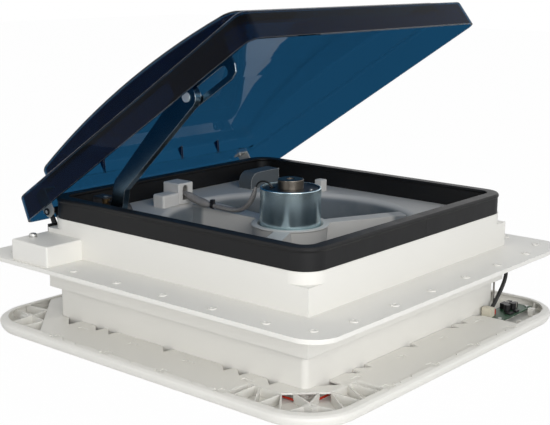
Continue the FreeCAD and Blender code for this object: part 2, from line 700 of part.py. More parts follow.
# Motor loom: sleeved wires from the wire block down to the cradle and up into the motor
loom_end = plate_top - 8.0
loom_points = [
    (loom_x, block_y + 2, loom_end), (loom_x, block_y + 2, plate_top + 12.5),
    (loom_x, block_y - 15, plate_top + 13), (loom_x + 2, block_y - 35, plate_top + 4.5),
    (loom_x + 7.5, fan_y + 93, plate_top + 0.8), (loom_x + 12.5, fan_y + 64, plate_top - 0.5),
    (loom_x + 9.5, fan_y + 42, cap_z - 17.4), (loom_x + 10, fan_y + 36.5, cap_z + 6.6),
    (loom_in.x - 0.5, loom_in.y + 2, cap_z + 7.1), (loom_in.x, loom_in.y, loom_in.z),
]
loom_radius = 3.0
wire_loom = cable(loom_points, loom_radius, 9.0)
save(wire_loom, "wire_loom")
tie_from = V(*loom_points[3])
tie_way = V(*loom_points[4]) - tie_from
tie_spot = tie_from + tie_way * 0.62
tie_way.normalize()
start = tie_spot - tie_way * 2.0
tie = Part.makeCylinder(loom_radius + 1.1, 4.0, start, tie_way)
tie = tie.cut(Part.makeCylinder(loom_radius + snug, 6.0, start - tie_way, tie_way))
tie_lock = box(-2.6, 2.6, -2.2, 2.2, 0, 4.0)
tie_lock.rotate(V(0, 0, 0), V(0, 0, 1), 12)
tie_lock.translate(tie_spot + V(0, 0, loom_radius + 0.6))
save(tie.fuse(tie_lock), "cable_tie")

# Lid: one tinted moulding, drawn closed and turned open


def lid_block(inset, rim_z, skirt_z, dome_z, crown, edge, foot):
    """The outside of the lid, or its inside when it is inset by the wall."""
    mid_y = lid_back - lid_length / 2
    half_y = lid_length / 2
    low = rounded_wire(lid_half - inset, half_y - inset, lid_corner - inset, mid_y, rim_z)
    narrow = lid_half - side_draft - inset
    short = half_y - end_draft - inset
    high = rounded_wire(narrow, short, lid_corner - inset - end_draft, mid_y, skirt_z)
    skirt = Part.makeLoft([low, high], True, True)
    dome_y = lid_back - (dome_back + dome_front) / 2
    dome_run = (dome_front - dome_back) / 2 - inset
    dome = rounded(dome_half - inset, dome_run, dome_corner - inset, skirt_z - 3, dome_z, dome_y)
    drum = rod_x(-400, 400, dome_y + crown_shift, lid_rim + dome_height - crown_radius, crown)
    dome = dome.common(drum)
    top = [e for e in dome.Edges if e.CenterOfMass.z > skirt_z + 8]
    top = [e for e in top if abs(e.tangentAt(e.FirstParameter).z) < 0.5]
    dome = dome.makeFillet(edge, top)
    shoulder = [e for e in skirt.Edges if e.CenterOfMass.z > skirt_z - 0.1]
    skirt = skirt.makeFillet(foot, shoulder)
    return skirt.fuse(dome)


lid_outside = lid_block(0, lid_rim, lid_rim + skirt_height, lid_rim + 90, crown_radius, dome_edge, skirt_edge)
lid_inside = lid_block(lid_wall, lid_rim - 1, lid_rim + skirt_height - lid_wall, lid_rim + 90,
                       crown_radius - lid_wall, dome_edge - lid_wall, skirt_edge - lid_wall)
lid = lid_outside.cut(lid_inside)
gusset_root = lid_back - dome_back - lid_wall + overlap
band_under = lid_rim + skirt_height - lid_wall
for x in gusset_places:
    points = [(gusset_root, band_under), (gusset_root, band_under + 15.5)]
    points += [(gusset_root - 11, band_under + 15.5), (gusset_root - 2.5, band_under)]
    lid = lid.fuse(prism_x(points, x - 1.5, x + 1.5))
rail_screw_x = rail_x + 9.0
rail_screw_spots = [(rail_screw_x, rail_datum - 262.0), (rail_screw_x, rail_datum - 324.0)]
dome_middle = lid_back - (dome_back + dome_front) / 2 + crown_shift
for x, y in rail_screw_spots:
    fall = (y - dome_middle) ** 2 / (2 * crown_radius)
    boss = disc(x, y, lid_rim + rail_top, lid_rim + dome_height - lid_wall - fall + 1.0, 5.0)
    lid = lid.fuse(boss)
rail_ways = [disc(x, y, lid_rim + rail_top - 5, lid_rim + rail_top + 4.5, 1.4 + snug)
             for x, y in rail_screw_spots]
lid = lid.cut(group(rail_ways))
hinge_flange_z = band_under - hinge_plate_thick
hinge_screw_spots = [(side * (hinge_plate_x - 10.5), hinge_y - 5.5) for side in (1, -1)]
hinge_ways = [disc(x, y, band_under - 20, band_under + 1.7, 1.2 + snug) for x, y in hinge_screw_spots]
lid = lid.cut(group(hinge_ways))
save(opened(lid), "lid")

# Slotted rail under the lid and its screws
rail_side = [
    (rail_datum - rail_from, lid_rim + 24.0), (rail_datum - rail_from, lid_rim + rail_top),
    (rail_datum - rail_to, lid_rim + rail_top), (rail_datum - rail_to, lid_rim + 17.0),
    (rail_datum - rail_to + 3.7, lid_rim + 8.2), (rail_datum - rail_to + 12.5, lid_rim + rail_low),
    (rail_datum - rail_from - 12.5, lid_rim + rail_low), (rail_datum - rail_from - 3.7, lid_rim + 8.2),
]
rail = prism_x(rail_side, rail_x, rail_x + rail_thick)
slot_z = lid_rim + rail_slot_h
slot = box(rail_x - 1, rail_x + 5, rail_datum - rail_slot_to, rail_datum - rail_slot_from,
           slot_z - rail_slot_half, slot_z + rail_slot_half)
for s in (rail_slot_from, rail_slot_to):
    slot = slot.fuse(rod_x(rail_x - 1, rail_x + 5, rail_datum - s, slot_z, rail_slot_half))
rail_flange = box(rail_x, rail_x + 17.0, rail_datum - rail_to, rail_datum - rail_from,
                  lid_rim + rail_top - rail_thick, lid_rim + rail_top)
rail = rail.fuse(rail_flange).cut(slot)
bend = [e for e in rail.Edges if abs(e.CenterOfMass.x - rail_x) < 0.01
        and abs(e.CenterOfMass.z - lid_rim - rail_top) < 0.01 and e.Length > 50]
rail = rail.makeFillet(1.2, bend)
rail = rail.cut(group(rail_ways))
save(opened(rail), "slide_rail")
rail_seat = lid_rim + rail_top - rail_thick
rail_screws = [screw(x, y, rail_seat, rail_seat + 5.5, 2.8, 1.8, 1.4) for x, y in rail_screw_spots]
save(opened(group(rail_screws)), "rail_screws")

# Lid hinges: plates on the lid, pins, and black brackets on the back of the riser
plate_x = hinge_plate_x - hinge_plate_thick / 2
outline = [(hinge_y - 11.6, band_under), (hinge_y - 11.6, hinge_z - 1.5), (hinge_y - 8.0, hinge_z - 7.2)]
outline += [(hinge_y + 1.5, hinge_z - 8.1), (hinge_y + 7.3, hinge_z + 0.5), (hinge_y + 7.3, band_under)]
upright = prism_x(outline, plate_x, plate_x + hinge_plate_thick)
tab_edge = plate_x + hinge_plate_thick
tab = box(hinge_plate_x - 16.5, tab_edge, hinge_y - 11.0, hinge_y + 1.0, hinge_flange_z, band_under)
hinge_plate = upright.fuse(tab)
hinge_line = (hinge_plate_x - 36, hinge_plate_x + 34, hinge_y, hinge_z)
hinge_plate = hinge_plate.cut(rod_x(*hinge_line, hinge_pin_radius + running))
hinge_plate = hinge_plate.cut(group(hinge_ways))
save(opened(group([hinge_plate, mirrored(hinge_plate)])), "hinge_plates")
plate_fixings = [screw(x, y, hinge_flange_z, band_under + 1.5, 2.4, 1.4, 1.2)
                 for x, y in hinge_screw_spots]
save(opened(group(plate_fixings)), "hinge_plate_screws")
bracket_face = riser_half
back_plate = box(hinge_plate_x - 28.5, hinge_plate_x + 10, bracket_face, bracket_face + 3.0, 9.0, 33.0)
ears = []
for x in (ear_inner_x, ear_outer_x):
    outline = [(bracket_face, 14.0), (bracket_face + 3.0, 14.0), (hinge_y + 0.8, hinge_z - ear_radius)]
    outline += [(hinge_y, hinge_z + ear_radius), (bracket_face + 3.0, 33.0), (bracket_face, 33.0)]
    ear = prism_x(outline, x - ear_thick / 2, x + ear_thick / 2)
    ears.append(ear.fuse(rod_x(x - ear_thick / 2, x + ear_thick / 2, hinge_y, hinge_z, ear_radius)))
bracket = back_plate.multiFuse(ears)
bracket = bracket.cut(rod_x(*hinge_line, hinge_pin_radius + snug))
bracket_ways = []
for x, z in hinge_wall_screws:
    bracket_ways.append(Part.makeCylinder(1.5 + snug, 20, V(x, bracket_face - 8, z), V(0, 1, 0)))
bracket = bracket.cut(group(bracket_ways))
save(group([bracket, mirrored(bracket)]), "hinge_brackets")
pin = rod_x(ear_inner_x - ear_thick, hinge_plate_x + 2.6, hinge_y, hinge_z, hinge_pin_radius)
pin = pin.fuse(rod_x(hinge_plate_x + 1.0, hinge_plate_x + 2.4, hinge_y, hinge_z, 4.4))
pin = pin.fuse(rod_x(ear_inner_x - ear_thick - 1.4, ear_inner_x - ear_thick / 2, hinge_y, hinge_z, 4.4))
save(group([pin, mirrored(pin)]), "hinge_pins")
wall_screws = []
for x, z in hinge_wall_screws:
    flat = screw(0, 0, 0, -5.5, 2.8, 2.0, 1.5)
    flat.rotate(V(0, 0, 0), V(1, 0, 0), -90)
    flat.translate(V(x, bracket_face + 3.0, z))
    wall_screws.append(flat)
save(group(wall_screws), "hinge_bracket_screws")

# Lift arm: a stamped channel, with its head on the rail and its foot on the lift shaft
head_y = pivot_y - arm_length * math.cos(math.radians(arm_angle))
head_z = pivot_z + arm_length * math.sin(math.radians(arm_angle))


def arm_body(inset, x0, x1):
    upper = hull([(head_y, head_z, arm_head - inset), (elbow_y, elbow_z, arm_half - inset)], x0, x1)
    lower = hull([(pivot_y, pivot_z, arm_foot - inset), (elbow_y, elbow_z, arm_half - inset)], x0, x1)
    return upper.fuse(lower)


arm = arm_body(0, arm_web_x, arm_flange_x).removeSplitter()
arm = arm.cut(arm_body(arm_web, arm_web_x + arm_web, arm_flange_x + 1))
arm = arm.cut(rod_x(arm_web_x - 1, arm_flange_x, head_y, head_z, arm_pin_radius - 1.5 + snug))
arm = arm.cut(rod_x(arm_web_x - 1, arm_flange_x, pivot_y, pivot_z, lift_shaft_radius + snug))
save(arm.removeSplitter(), "lift_arm")
web_inside = arm_web_x + arm_web
pin_parts = [rod_x(arm_web_x - 1.2, arm_web_x, head_y, head_z, 5.5)]
pin_parts.append(rod_x(arm_web_x - 0.5, web_inside, head_y, head_z, arm_pin_radius - 1.5))
pin_parts.append(rod_x(web_inside, rail_x - 0.4, head_y, head_z, 8.0))
pin_parts.append(rod_x(rail_x - 1, rail_x + rail_thick + 0.4, head_y, head_z, arm_pin_radius))
pin_parts.append(rod_x(rail_x + rail_thick + 0.4, rail_x + rail_thick + 2.2, head_y, head_z, 8.5))
save(pin_parts[0].multiFuse(pin_parts[1:]), "arm_pin")
lift_shaft = rod_x(gear_x - 21, gear_x + 9, pivot_y, pivot_z, lift_shaft_radius)
lift_shaft = lift_shaft.fuse(rod_x(gear_x - 21, gear_x - 19.3, pivot_y, pivot_z, 4.5))
lift_shaft = lift_shaft.fuse(rod_x(gear_x + 7.3, gear_x + 9, pivot_y, pivot_z, 4.5))
save(lift_shaft, "lift_shaft")

# Lift gear: a toothed sector keyed to the same shaft as the arm
tooth_half = math.pi * gear_module / 4 - tooth_gap / 4
lean = math.tan(math.radians(20))
root_radius = gear_radius - 1.25 * gear_module
point_radius = gear_radius + gear_module
step_angle = 360 / gear_teeth
sector = [(pivot_y, pivot_z)]
for k in range(-4, 2):
    middle = step_angle * k
    ring = [(root_radius, tooth_half + (gear_radius - root_radius) * lean, -1)]
    ring.append((point_radius, tooth_half - (point_radius - gear_radius) * lean, -1))
    ring.append((point_radius, tooth_half - (point_radius - gear_radius) * lean, 1))
    ring.append((root_radius, tooth_half + (gear_radius - root_radius) * lean, 1))
    for radius, half, side in ring:
        turn = math.radians(middle) + side * half / radius
        sector.append((pivot_y + radius * math.cos(turn), pivot_z + radius * math.sin(turn)))
gear = prism_x(sector, gear_x - gear_width / 2, gear_x + gear_width / 2)
gear = gear.fuse(rod_x(web_inside, gear_x + gear_width / 2 + 2.5, pivot_y, pivot_z, 8.0))
gear = gear.cut(rod_x(gear_x - 50, gear_x + 50, pivot_y, pivot_z, lift_shaft_radius + snug))
save(gear, "lift_gear")

# Worm on the crank shaft, and the knob in the room below
thread_half = worm_pitch / 4 - tooth_gap / 4
thread_root = worm_radius - 1.25 * gear_module
thread_point = worm_radius + gear_module * 0.9
low_half = thread_half + (worm_radius - thread_root + 0.4) * lean
high_half = thread_half - (thread_point - worm_radius) * lean
turns = 2
start_z = pivot_z + worm_pitch / 2 - 0.75 * worm_pitch - worm_pitch * 1
helix = Part.makeHelix(worm_pitch, worm_pitch * turns, worm_radius)
ring = [V(thread_root - 0.4, 0, -low_half), V(thread_point, 0, -high_half)]
ring += [V(thread_point, 0, high_half), V(thread_root - 0.4, 0, low_half)]
profile = Part.makePolygon(ring + ring[:1])
thread = Part.Wire(helix).makePipeShell([profile], True, True)
thread.translate(V(gear_x, worm_y, start_z))
worm = disc(gear_x, worm_y, worm_low, worm_high, thread_root)
worm = worm.fuse(thread)
worm = worm.common(disc(gear_x, worm_y, worm_low, worm_high, thread_point + 1))
worm = worm.cut(disc(gear_x, worm_y, 0, worm_high + 26, crank_radius + snug))
save(worm, "lift_worm")
print("worm from", start_z, "to", start_z + worm_pitch * turns)
crank_shaft = disc(gear_x, worm_y, knob_low + 8, worm_high + 3, crank_radius)
save(crank_shaft, "crank_shaft")
knob = disc(gear_x, worm_y, knob_low, knob_high, knob_radius)
grips = []
for k in range(12):
    turn = math.radians(30 * k)
    x = gear_x + (knob_radius + 3.0) * math.cos(turn)
    y = worm_y + (knob_radius + 3.0) * math.sin(turn)
    grips.append(disc(x, y, knob_low - 1, knob_high + 1, 5.0))
knob = knob.cut(group(grips))
knob = knob.makeFillet(1.0, [e for e in knob.Edges if abs(e.CenterOfMass.z - knob_low) < 0.01])
knob = knob.cut(disc(gear_x, worm_y, knob_low + 3, knob_high + 1, knob_radius - 5))
knob = knob.fuse(disc(gear_x, worm_y, knob_low + 2, knob_high, 7.0))
knob = knob.cut(disc(gear_x, worm_y, knob_low + 8, knob_high + 1, crank_radius + snug))
save(knob, "lift_knob")
base = box(gear_x - 22, gear_x + 16.5, pivot_y - 19.5, pivot_y + 44.5, plate_top, plate_top + 1.5)
base = base.cut(gear_slot)
ears = []
for x in (gear_x - 17.8, gear_x + 5.3):
    foot = box(x, x + 1.5, pivot_y - 12, pivot_y + 12, plate_top, plate_top + 2)
    ear = hull([(pivot_y, pivot_z, 7.5), (pivot_y, plate_top + 3, 11.5)], x, x + 1.5)
    ear = ear.common(box(x - 20, x + 20, pivot_y - 31, pivot_y + 39, plate_top, plate_top + 38))
    ears.append(ear.fuse(foot))
tower = box(gear_x - 8.5, gear_x + 8.5, pivot_y + 43, pivot_y + 44.5, plate_top, worm_high + 2.5)
roof = box(gear_x - 8.5, gear_x + 8.5, pivot_y + 25.6, pivot_y + 44.5, worm_high + 0.7, worm_high + 2.5)
lift_bracket = base.multiFuse(ears + [tower, roof])
shaft_way = rod_x(gear_x - 50, gear_x + 50, pivot_y, pivot_z, lift_shaft_radius + running)
lift_bracket = lift_bracket.cut(shaft_way)
lift_bracket = lift_bracket.cut(disc(gear_x, worm_y, plate_top - 12, worm_high + 26, crank_radius + running))
bracket_holes = [disc(x, y, plate_top - 12, plate_top + 8, tapping_radius + snug) for x, y in bracket_spots]
lift_bracket = lift_bracket.cut(group(bracket_holes))
save(lift_bracket, "lift_bracket")
bracket_seat = plate_top + 1.5
bracket_screws = [screw(x, y, bracket_seat, plate_top - 2.8, 2.6, 1.8, tapping_radius) for x, y in bracket_spots]
save(group(bracket_screws), "lift_bracket_screws")

# Cable housing on the flange
housing_block = box(housing_x0, -riser_half, housing_y0, housing_y1, 0, housing_z)
rims = [e for e in housing_block.Edges if e.CenterOfMass.x < -riser_half - 11.7 and e.CenterOfMass.z > 1]
housing_block = housing_block.makeFillet(2.0, rims)
room = box(housing_x0 + 2, -riser_half + 1, housing_y0 + 2, housing_y1 - 2, -1, housing_z - 2)
housing_block = housing_block.cut(room)
pillar = disc(housing_screw_x, housing_screw_y, 0, housing_z - 1, 4.5)
housing_block = housing_block.fuse(pillar)
housing_block = housing_block.cut(disc(housing_screw_x, housing_screw_y, -1, 30, 1.5 + snug))
save(housing_block, "cable_housing")
housing_screw = screw(housing_screw_x, housing_screw_y, housing_z, -4.0, 4.8, 4.6, 1.5)
save(housing_screw, "housing_screw")

# Collar: slides in the stub of the roof frame, to suit the thickness of the roof
collar_inside = collar_half - wall
collar = rounded(collar_half, collar_half, collar_corner, collar_bottom, collar_top)
collar = collar.cut(rounded(collar_inside, collar_inside, collar_corner - wall, -100, 0))
guides = []
for along in (-150.0, -60.0, 60.0, 150.0):
    guides += four(box(collar_half - 1, riser_inside - snug, along - 1.5, along + 1.5, -41.0, -31.0))
screen_ledge = rounded(collar_inside + overlap, collar_inside + overlap, 5.0, screen_high, screen_high + 2.5)
screen_ledge = screen_ledge.cut(rounded(collar_inside - 5, collar_inside - 5, 4.0, -100, 0))
corner_out = collar_inside + 0.3
corner_in = collar_inside - 20.0
corner_plan = [(corner_out, corner_out), (corner_out, corner_in), (corner_in, corner_out)]
screen_corner = prism(corner_plan, screen_high, screen_high + 5)
screen_corner = screen_corner.common(rounded(collar_inside + overlap, collar_inside + overlap, 5.0, -90, 0))
ring_screw_steps = [-110.0, 110.0]
ring_screw_line = collar_half - 6.3
ring_pad_top = ring_floor + 2.1
ring_bosses = []
for along in ring_screw_steps:
    ring_bosses += four(disc(ring_screw_line, along, ring_pad_top, ring_pad_top + 10.4, 4.4))
collar = collar.multiFuse(guides + [screen_ledge] + four(screen_corner) + ring_bosses)
screen_screw_spot = collar_inside - 7.5
screen_ways = four(disc(screen_screw_spot, screen_screw_spot, screen_low - 18, screen_high + 3.5,
                        tapping_radius + snug))
ring_ways = []
for along in ring_screw_steps:
    ring_ways += four(disc(ring_screw_line, along, ring_bottom - 7, ring_floor + 10.5, 1.5 + snug))
collar = collar.cut(group(screen_ways + ring_ways))
save(collar, "collar")

# Trim ring: tray with a skirt and a lip, a raised deck round the collar and ribbed corners
run = ring_half - ring_corner
foot = ring_foot - run
edge = ring_corner
lip = edge - lip_width
skirt_section = [
    (foot - 9, ring_bottom), (foot, ring_bottom), (foot + 3.2, ring_bottom + 1.3),
    (edge - 1.6, ring_bottom + 4.2), (edge - 0.3, ring_bottom + 7.6), (edge, ring_top - 1.0),
    (edge - 0.8, ring_top + 0.8), (edge - 3.5, ring_top + 2.6), (lip + 1.5, lip_top),
    (lip, lip_top), (lip, lip_top - 2.2), (edge - 4.4, ring_top + 0.4), (edge - 2.7, ring_top - 2.0),
    (edge - 2.7, ring_bottom + 8.2), (edge - 4.0, ring_bottom + 5.4),
    (foot + 1.4, ring_bottom + 3.4), (foot - 1.5, ring_floor), (foot - 9, ring_floor),
]
skirt = carried(skirt_section, run, run)
floor = rounded(ring_foot - 8, ring_foot - 8, foot - 8, ring_bottom, ring_floor)
opening = rounded(ring_inner, ring_inner, 8.0, ring_bottom - 7, band_top + 20)
floor = floor.cut(opening)
rim_half = ring_half - 4.2     # deck and ribs run this far out, under the lip
within = rounded(rim_half, rim_half, ring_corner - 4.2, ring_bottom, lip_top)
deck_low = band_top - band_wall


def wall_on(p, q, low, high, thick):
    """An upright wall from p to q, as (x, y) points of the corner x > 0, y > 0."""
    length = math.hypot(q[0] - p[0], q[1] - p[1])
    piece = box(0, length, -thick / 2, thick / 2, low, high)
    piece.rotate(V(0, 0, 0), V(0, 0, 1), math.degrees(math.atan2(q[1] - p[1], q[0] - p[0])))
    piece.translate(V(p[0], p[1], 0))
    return piece


def quarter(shapes, turn):
    """Turns the shapes of the corner x > 0, y > 0 to the corner that is turn quarters on."""
    copies = []
    for shape in shapes:
        copy = shape.copy()
        copy.rotate(V(0, 0, 0), V(0, 0, 1), 90 * turn)
        copies.append(copy)
    return copies


def both(pairs):
    """The lines, and the same lines mirrored about the corner's diagonal."""
    return pairs + [((p[1], p[0]), (q[1], q[0])) for p, q in pairs]


far = rim_half - 1
plain_near = (ring_half - 41.5, plain_cut + far - ring_half + 41.5)
post_low = post_place - post_half
post_high = post_place + post_half
plain_edges = both([((far, plain_cut), plain_near)])
plain_edges.append((plain_near, plain_near[::-1]))
plain_ribs = both([
    (plain_near, (far, plain_near[1] + 4)), (plain_near, (post_low + 2, post_low + 1)),
    ((post_high - 2, post_low + 1), (far, post_low - 1)),
])
front_near = (front_edge, front_cut)
front_edges = both([((front_edge, front_step), front_near), ((front_edge, front_step), (far, front_step))])
front_ribs = both([
    ((front_edge, front_step + 10), (far, front_step + 10)), ((front_edge, front_step + 17), (far, front_cut - 2)),
    ((far, front_cut - 2), front_near), (front_near, (far, front_cut + 31)),
    ((far, front_cut + 31), (post_high - 2, post_low + 2)),
    ((front_edge - 9, front_cut + 9), (post_low + 1, post_low + 1)),
])
board_edges = both([((far, board_cut), (band_inner + 1, board_cut))])
board_ribs = both([
    ((far, ring_half - 37.5), (ring_half - 18.0, ring_half - 37.5)),
    ((far, board_cut + 14), (ring_half - 20.0, board_cut + 14)),
])
plain_gap = prism([(far + 9, plain_cut - 9), plain_near, plain_near[::-1], (plain_cut - 9, far + 9),
                   (far + 9, far + 9)], deck_low - 1, band_top + 1)
front_gap = prism([(far + 9, front_step), (front_edge, front_step), front_near, front_near[::-1],
                   (front_step, front_edge), (front_step, far + 9), (far + 9, far + 9)],
                  deck_low - 1, band_top + 1)
board_gap = prism([(far + 9, board_cut), (band_inner - 5, board_cut), (band_inner - 5, band_inner - 5),
                   (board_cut, band_inner - 5), (board_cut, far + 9), (far + 9, far + 9)],
                  deck_low - 1, band_top + 1)
collar_way = rounded(band_inner, band_inner, collar_corner + 0.5, ring_bottom - 7, band_top + 20)
gaps = quarter([plain_gap], 0) + quarter([plain_gap], 1) + quarter([front_gap], 2)
gaps += quarter([board_gap], 3)
deck = prism([(rim_half, rim_half), (-rim_half, rim_half), (-rim_half, -rim_half), (rim_half, -rim_half)],
             deck_low, band_top)
deck = deck.cut(group(gaps))
rib_high = band_top - 0.3
edge_walls = [wall_on(p, q, ring_floor - 0.2, band_top - 0.5, band_wall) for p, q in plain_edges]
rib_walls = [wall_on(p, q, ring_floor - 0.2, rib_high, 1.6) for p, q in plain_ribs]
plain_walls = edge_walls + rib_walls
front_walls = [wall_on(p, q, ring_floor - 0.2, band_top - 0.5, band_wall) for p, q in front_edges]
front_walls += [wall_on(p, q, ring_floor - 0.2, rib_high, 1.6) for p, q in front_ribs]
board_walls = [wall_on(p, q, ring_floor - 0.2, band_top - 0.5, band_wall) for p, q in board_edges]
board_walls += [wall_on(p, q, ring_floor - 0.2, rib_high, 1.6) for p, q in board_ribs]
post = box(post_low, post_high, post_low, post_high, ring_floor - 0.2, band_top)
small_post = box(ring_half - 33.5, ring_half - 26.5, ring_half - 42.5, ring_half - 35.5,
                 ring_floor - 0.2, band_top - 1)
walls = quarter(plain_walls + [post], 0) + quarter(plain_walls + [post], 1)
walls += quarter(front_walls + [post], 2) + quarter(board_walls + [small_post], 3)
skirting = []
for along in (0, 1, 2, 3):
    upright = box(band_inner, band_inner + band_wall, 12 - front_step, front_step - 12,
                  ring_floor - 0.2, band_top - 0.5)
    skirting += quarter([upright], along)
raised = deck.multiFuse(walls + skirting).common(within).cut(collar_way)
trim_ring = skirt.multiFuse([floor, raised])
windows = []
for w in window_places:
    reach = 18.0 if w == window_places[0] else 12.0
    corner = [(band_inner - 1, w - 1.2 * reach), (band_inner + reach, w), (band_inner - 1, w + 2)]
    windows += four(prism(corner, ring_floor + 0.6, band_top + 1))
slots = []
for w in box_notches:
    slots += four(box(band_inner + 14, band_inner + 20, w - 7, w + 7, band_top - 0.7, band_top + 1))
notches = []
lip_line = ring_half - lip_width
for w in notch_places:
    notches += four(prism([(lip_line - 1, w - 4), (lip_line + 3.5, w), (lip_line - 1, w + 4)],
                          band_top + 0.01, lip_top + 1))
for w in box_notches:
    notches += four(box(lip_line - 1, lip_line + 4, w - 7, w + 7, band_top + 0.01, lip_top + 1))
    notches += four(box(lip_line - 8, lip_line - 1, w - 5, w + 5, band_top - 0.7, band_top + 1))
box_window = box(front_edge + 1.5, front_edge + 11, front_step + 1.5, front_step + 8.5,
                 ring_floor + 0.4, band_top + 1)
mirrored_window = box(front_step + 1.5, front_step + 8.5, front_edge + 1.5, front_edge + 11,
                      ring_floor + 0.4, band_top + 1)
corner_windows = quarter([box_window, mirrored_window], 2)
details = []
for along in ring_screw_steps:
    details += four(disc(ring_screw_line, along, ring_floor - 0.2, ring_pad_top, 4.1).common(
        box(ring_inner - 0.5, collar_inside - 0.1, along - 9, along + 9, ring_bottom - 2, band_top)))
board_spot = V(board_x, -board_y, 0)


def on_board(shape):
    """Places a shape drawn about the board's own middle."""
    copy = shape.copy()
    copy.translate(board_spot)
    return copy


board_post_x = board_length / 2 - 4.5
board_post_y = 5.3 - board_width / 2
post_spots = [(-board_post_x, board_post_y), (board_post_x, board_post_y)]
posts = [on_board(disc(x, y, ring_floor - 0.2, board_low, 3.5)) for x, y in post_spots]
trim_ring = trim_ring.multiFuse(details + posts)
trim_ring = trim_ring.cut(group(windows)).cut(group(slots)).cut(group(notches)).cut(group(corner_windows))
post_ways = four(disc(post_place, post_place, ring_floor + 1, band_top + 10, post_hole))[:3]
button_y = -2.5
button_spots = [4.0 - button_step, 4.0, 4.0 + button_step]
button_ways = [on_board(disc(x, button_y, ring_bottom - 7, ring_floor + 1.5, button_radius + button_guide))
               for x in button_spots]
board_ways = [on_board(disc(x, y, ring_floor + 2.5, band_top + 5, 1.2 + snug)) for x, y in post_spots]
head_ways = []
for along in ring_screw_steps:
    head_ways += four(disc(ring_screw_line, along, ring_bottom - 2, ring_bottom + 2.2, 3.0))
block_mid_x = board_x - board_length / 2 + 6.0
lead_line = -band_inner - 12.2
lead_level = ring_floor + 2.5
red_rise = block_mid_x + 12.0
red_radius = 1.3
board_top = board_low + board_thick
red_start = ring_half - 45.5
red_points = [
    (-red_start, 190.0, lead_level), (-red_start + 8, 158.0, lead_level),
    (lead_line, 120.0, lead_level), (lead_line, lead_line, lead_level),
    (red_rise, lead_line, lead_level), (red_rise, lead_line, board_top + 8.5),
    (block_mid_x + 4.5, lead_line, board_top + 8.5),
]
lead_ways = [cable(red_points[:5], red_radius + 0.7, 12.0)]
ways = post_ways + button_ways + board_ways + ring_ways + head_ways
trim_ring = trim_ring.cut(group(ways)).cut(group(lead_ways))
save(trim_ring, "trim_ring")
ring_screws = []
for along in ring_screw_steps:
    seat = ring_bottom + 2.2
    ring_screws += four(screw(ring_screw_line, along, seat, seat + 9.8, 2.8, 1.9, 1.5))
save(group(ring_screws), "trim_screws")

# Insect screen in its frame, held under the collar's ledge by four screws
frame_inner = screen_half - screen_width
screen_frame = rounded(screen_half, screen_half, 4.0, screen_low, screen_high)
screen_frame = screen_frame.cut(rounded(frame_inner, frame_inner, 4.0, screen_low - 28, 0))
knob_web = box(gear_x - 5, gear_x + 5, worm_y, frame_inner + 1, screen_low, screen_high)
knob_web = knob_web.fuse(disc(gear_x, worm_y, screen_low, screen_high, 10.0))
screen_frame = screen_frame.fuse(knob_web)
cloth_mid = (screen_low + screen_high) / 2
cloth_low = cloth_mid - screen_cloth / 2
cloth_high = cloth_mid + screen_cloth / 2
groove = rounded(frame_inner + 3, frame_inner + 3, 4.0, cloth_low, cloth_high)
kept_web = box(gear_x - 3, gear_x + 3, worm_y, frame_inner + 1, screen_low - 28, 0)
kept_web = kept_web.fuse(disc(gear_x, worm_y, screen_low - 28, 0, 8.0))
screen_frame = screen_frame.cut(groove.cut(kept_web))
screen_frame = screen_frame.cut(disc(gear_x, worm_y, screen_low - 28, 0, crank_radius + running))
screen_frame = screen_frame.cut(group(screen_ways))
save(screen_frame, "screen_frame")
cloth_half = frame_inner + 3 - snug
cloth = rounded(cloth_half, cloth_half, 4.0, cloth_low, cloth_high)
save(cloth.cut(kept_web), "insect_screen")
screen_screws = four(screw(screen_screw_spot, screen_screw_spot, screen_low, screen_high + 3, 2.8, 1.8,
                           tapping_radius))
save(group(screen_screws), "screen_screws")

# Controls: board, its parts, screws and the three push buttons
board = box(-board_length / 2, board_length / 2, -board_width / 2, board_width / 2, board_low, board_top)
red_hole = cable(red_points[3:], red_radius + 0.4, 12.0)
board = on_board(board).cut(group(board_ways)).cut(red_hole)
save(board, "control_board")
row = board_width / 2
block_mid = block_mid_x - board_x
parts = [box(block_mid - 4.5, block_mid + 4.5, row - 13.6, row - 0.6, board_top, board_top + 11)]
parts.append(box(4, 15, row - 12, row - 3, board_top, board_top + 7))
parts.append(disc(-1, -1, board_top, board_top + 9, 4.0))
parts.append(disc(11, -3, board_top, board_top + 9, 4.0))
parts.append(disc(21, -1, board_top, board_top + 7, 3.0))
parts.append(box(-13, -3, -12, -5, board_top, board_top + 1.8))
parts.append(box(2, 9, -13, -8.5, board_top, board_top + 2.4))
parts.append(box(18, 27, row - 8, row - 3, board_top, board_top + 6))
for x in button_spots:
    parts.append(box(x - 3, x + 3, button_y - 3, button_y + 3, board_low - 1.3, board_low))
save(group([on_board(p) for p in parts]), "board_parts")
board_screws = [on_board(screw(x, y, board_top, board_low - 2.9, 2.4, 1.6, 1.2)) for x, y in post_spots]
save(group(board_screws), "board_screws")
for k in range(3):
    x = button_spots[k]
    button = disc(x, button_y, button_low, button_collar_high, button_radius)
    bottom = [e for e in button.Edges if abs(e.CenterOfMass.z - button_low) < 0.01]
    button = button.makeFillet(0.6, bottom)
    button = button.fuse(disc(x, button_y, button_collar_low, button_collar_high, button_collar_radius))
    stem_top = board_low - 1.3 - button_travel - 0.1
    button = button.fuse(disc(x, button_y, button_collar_high - 1, stem_top, 1.4))
    save(on_board(button), "button_" + str(k + 1))

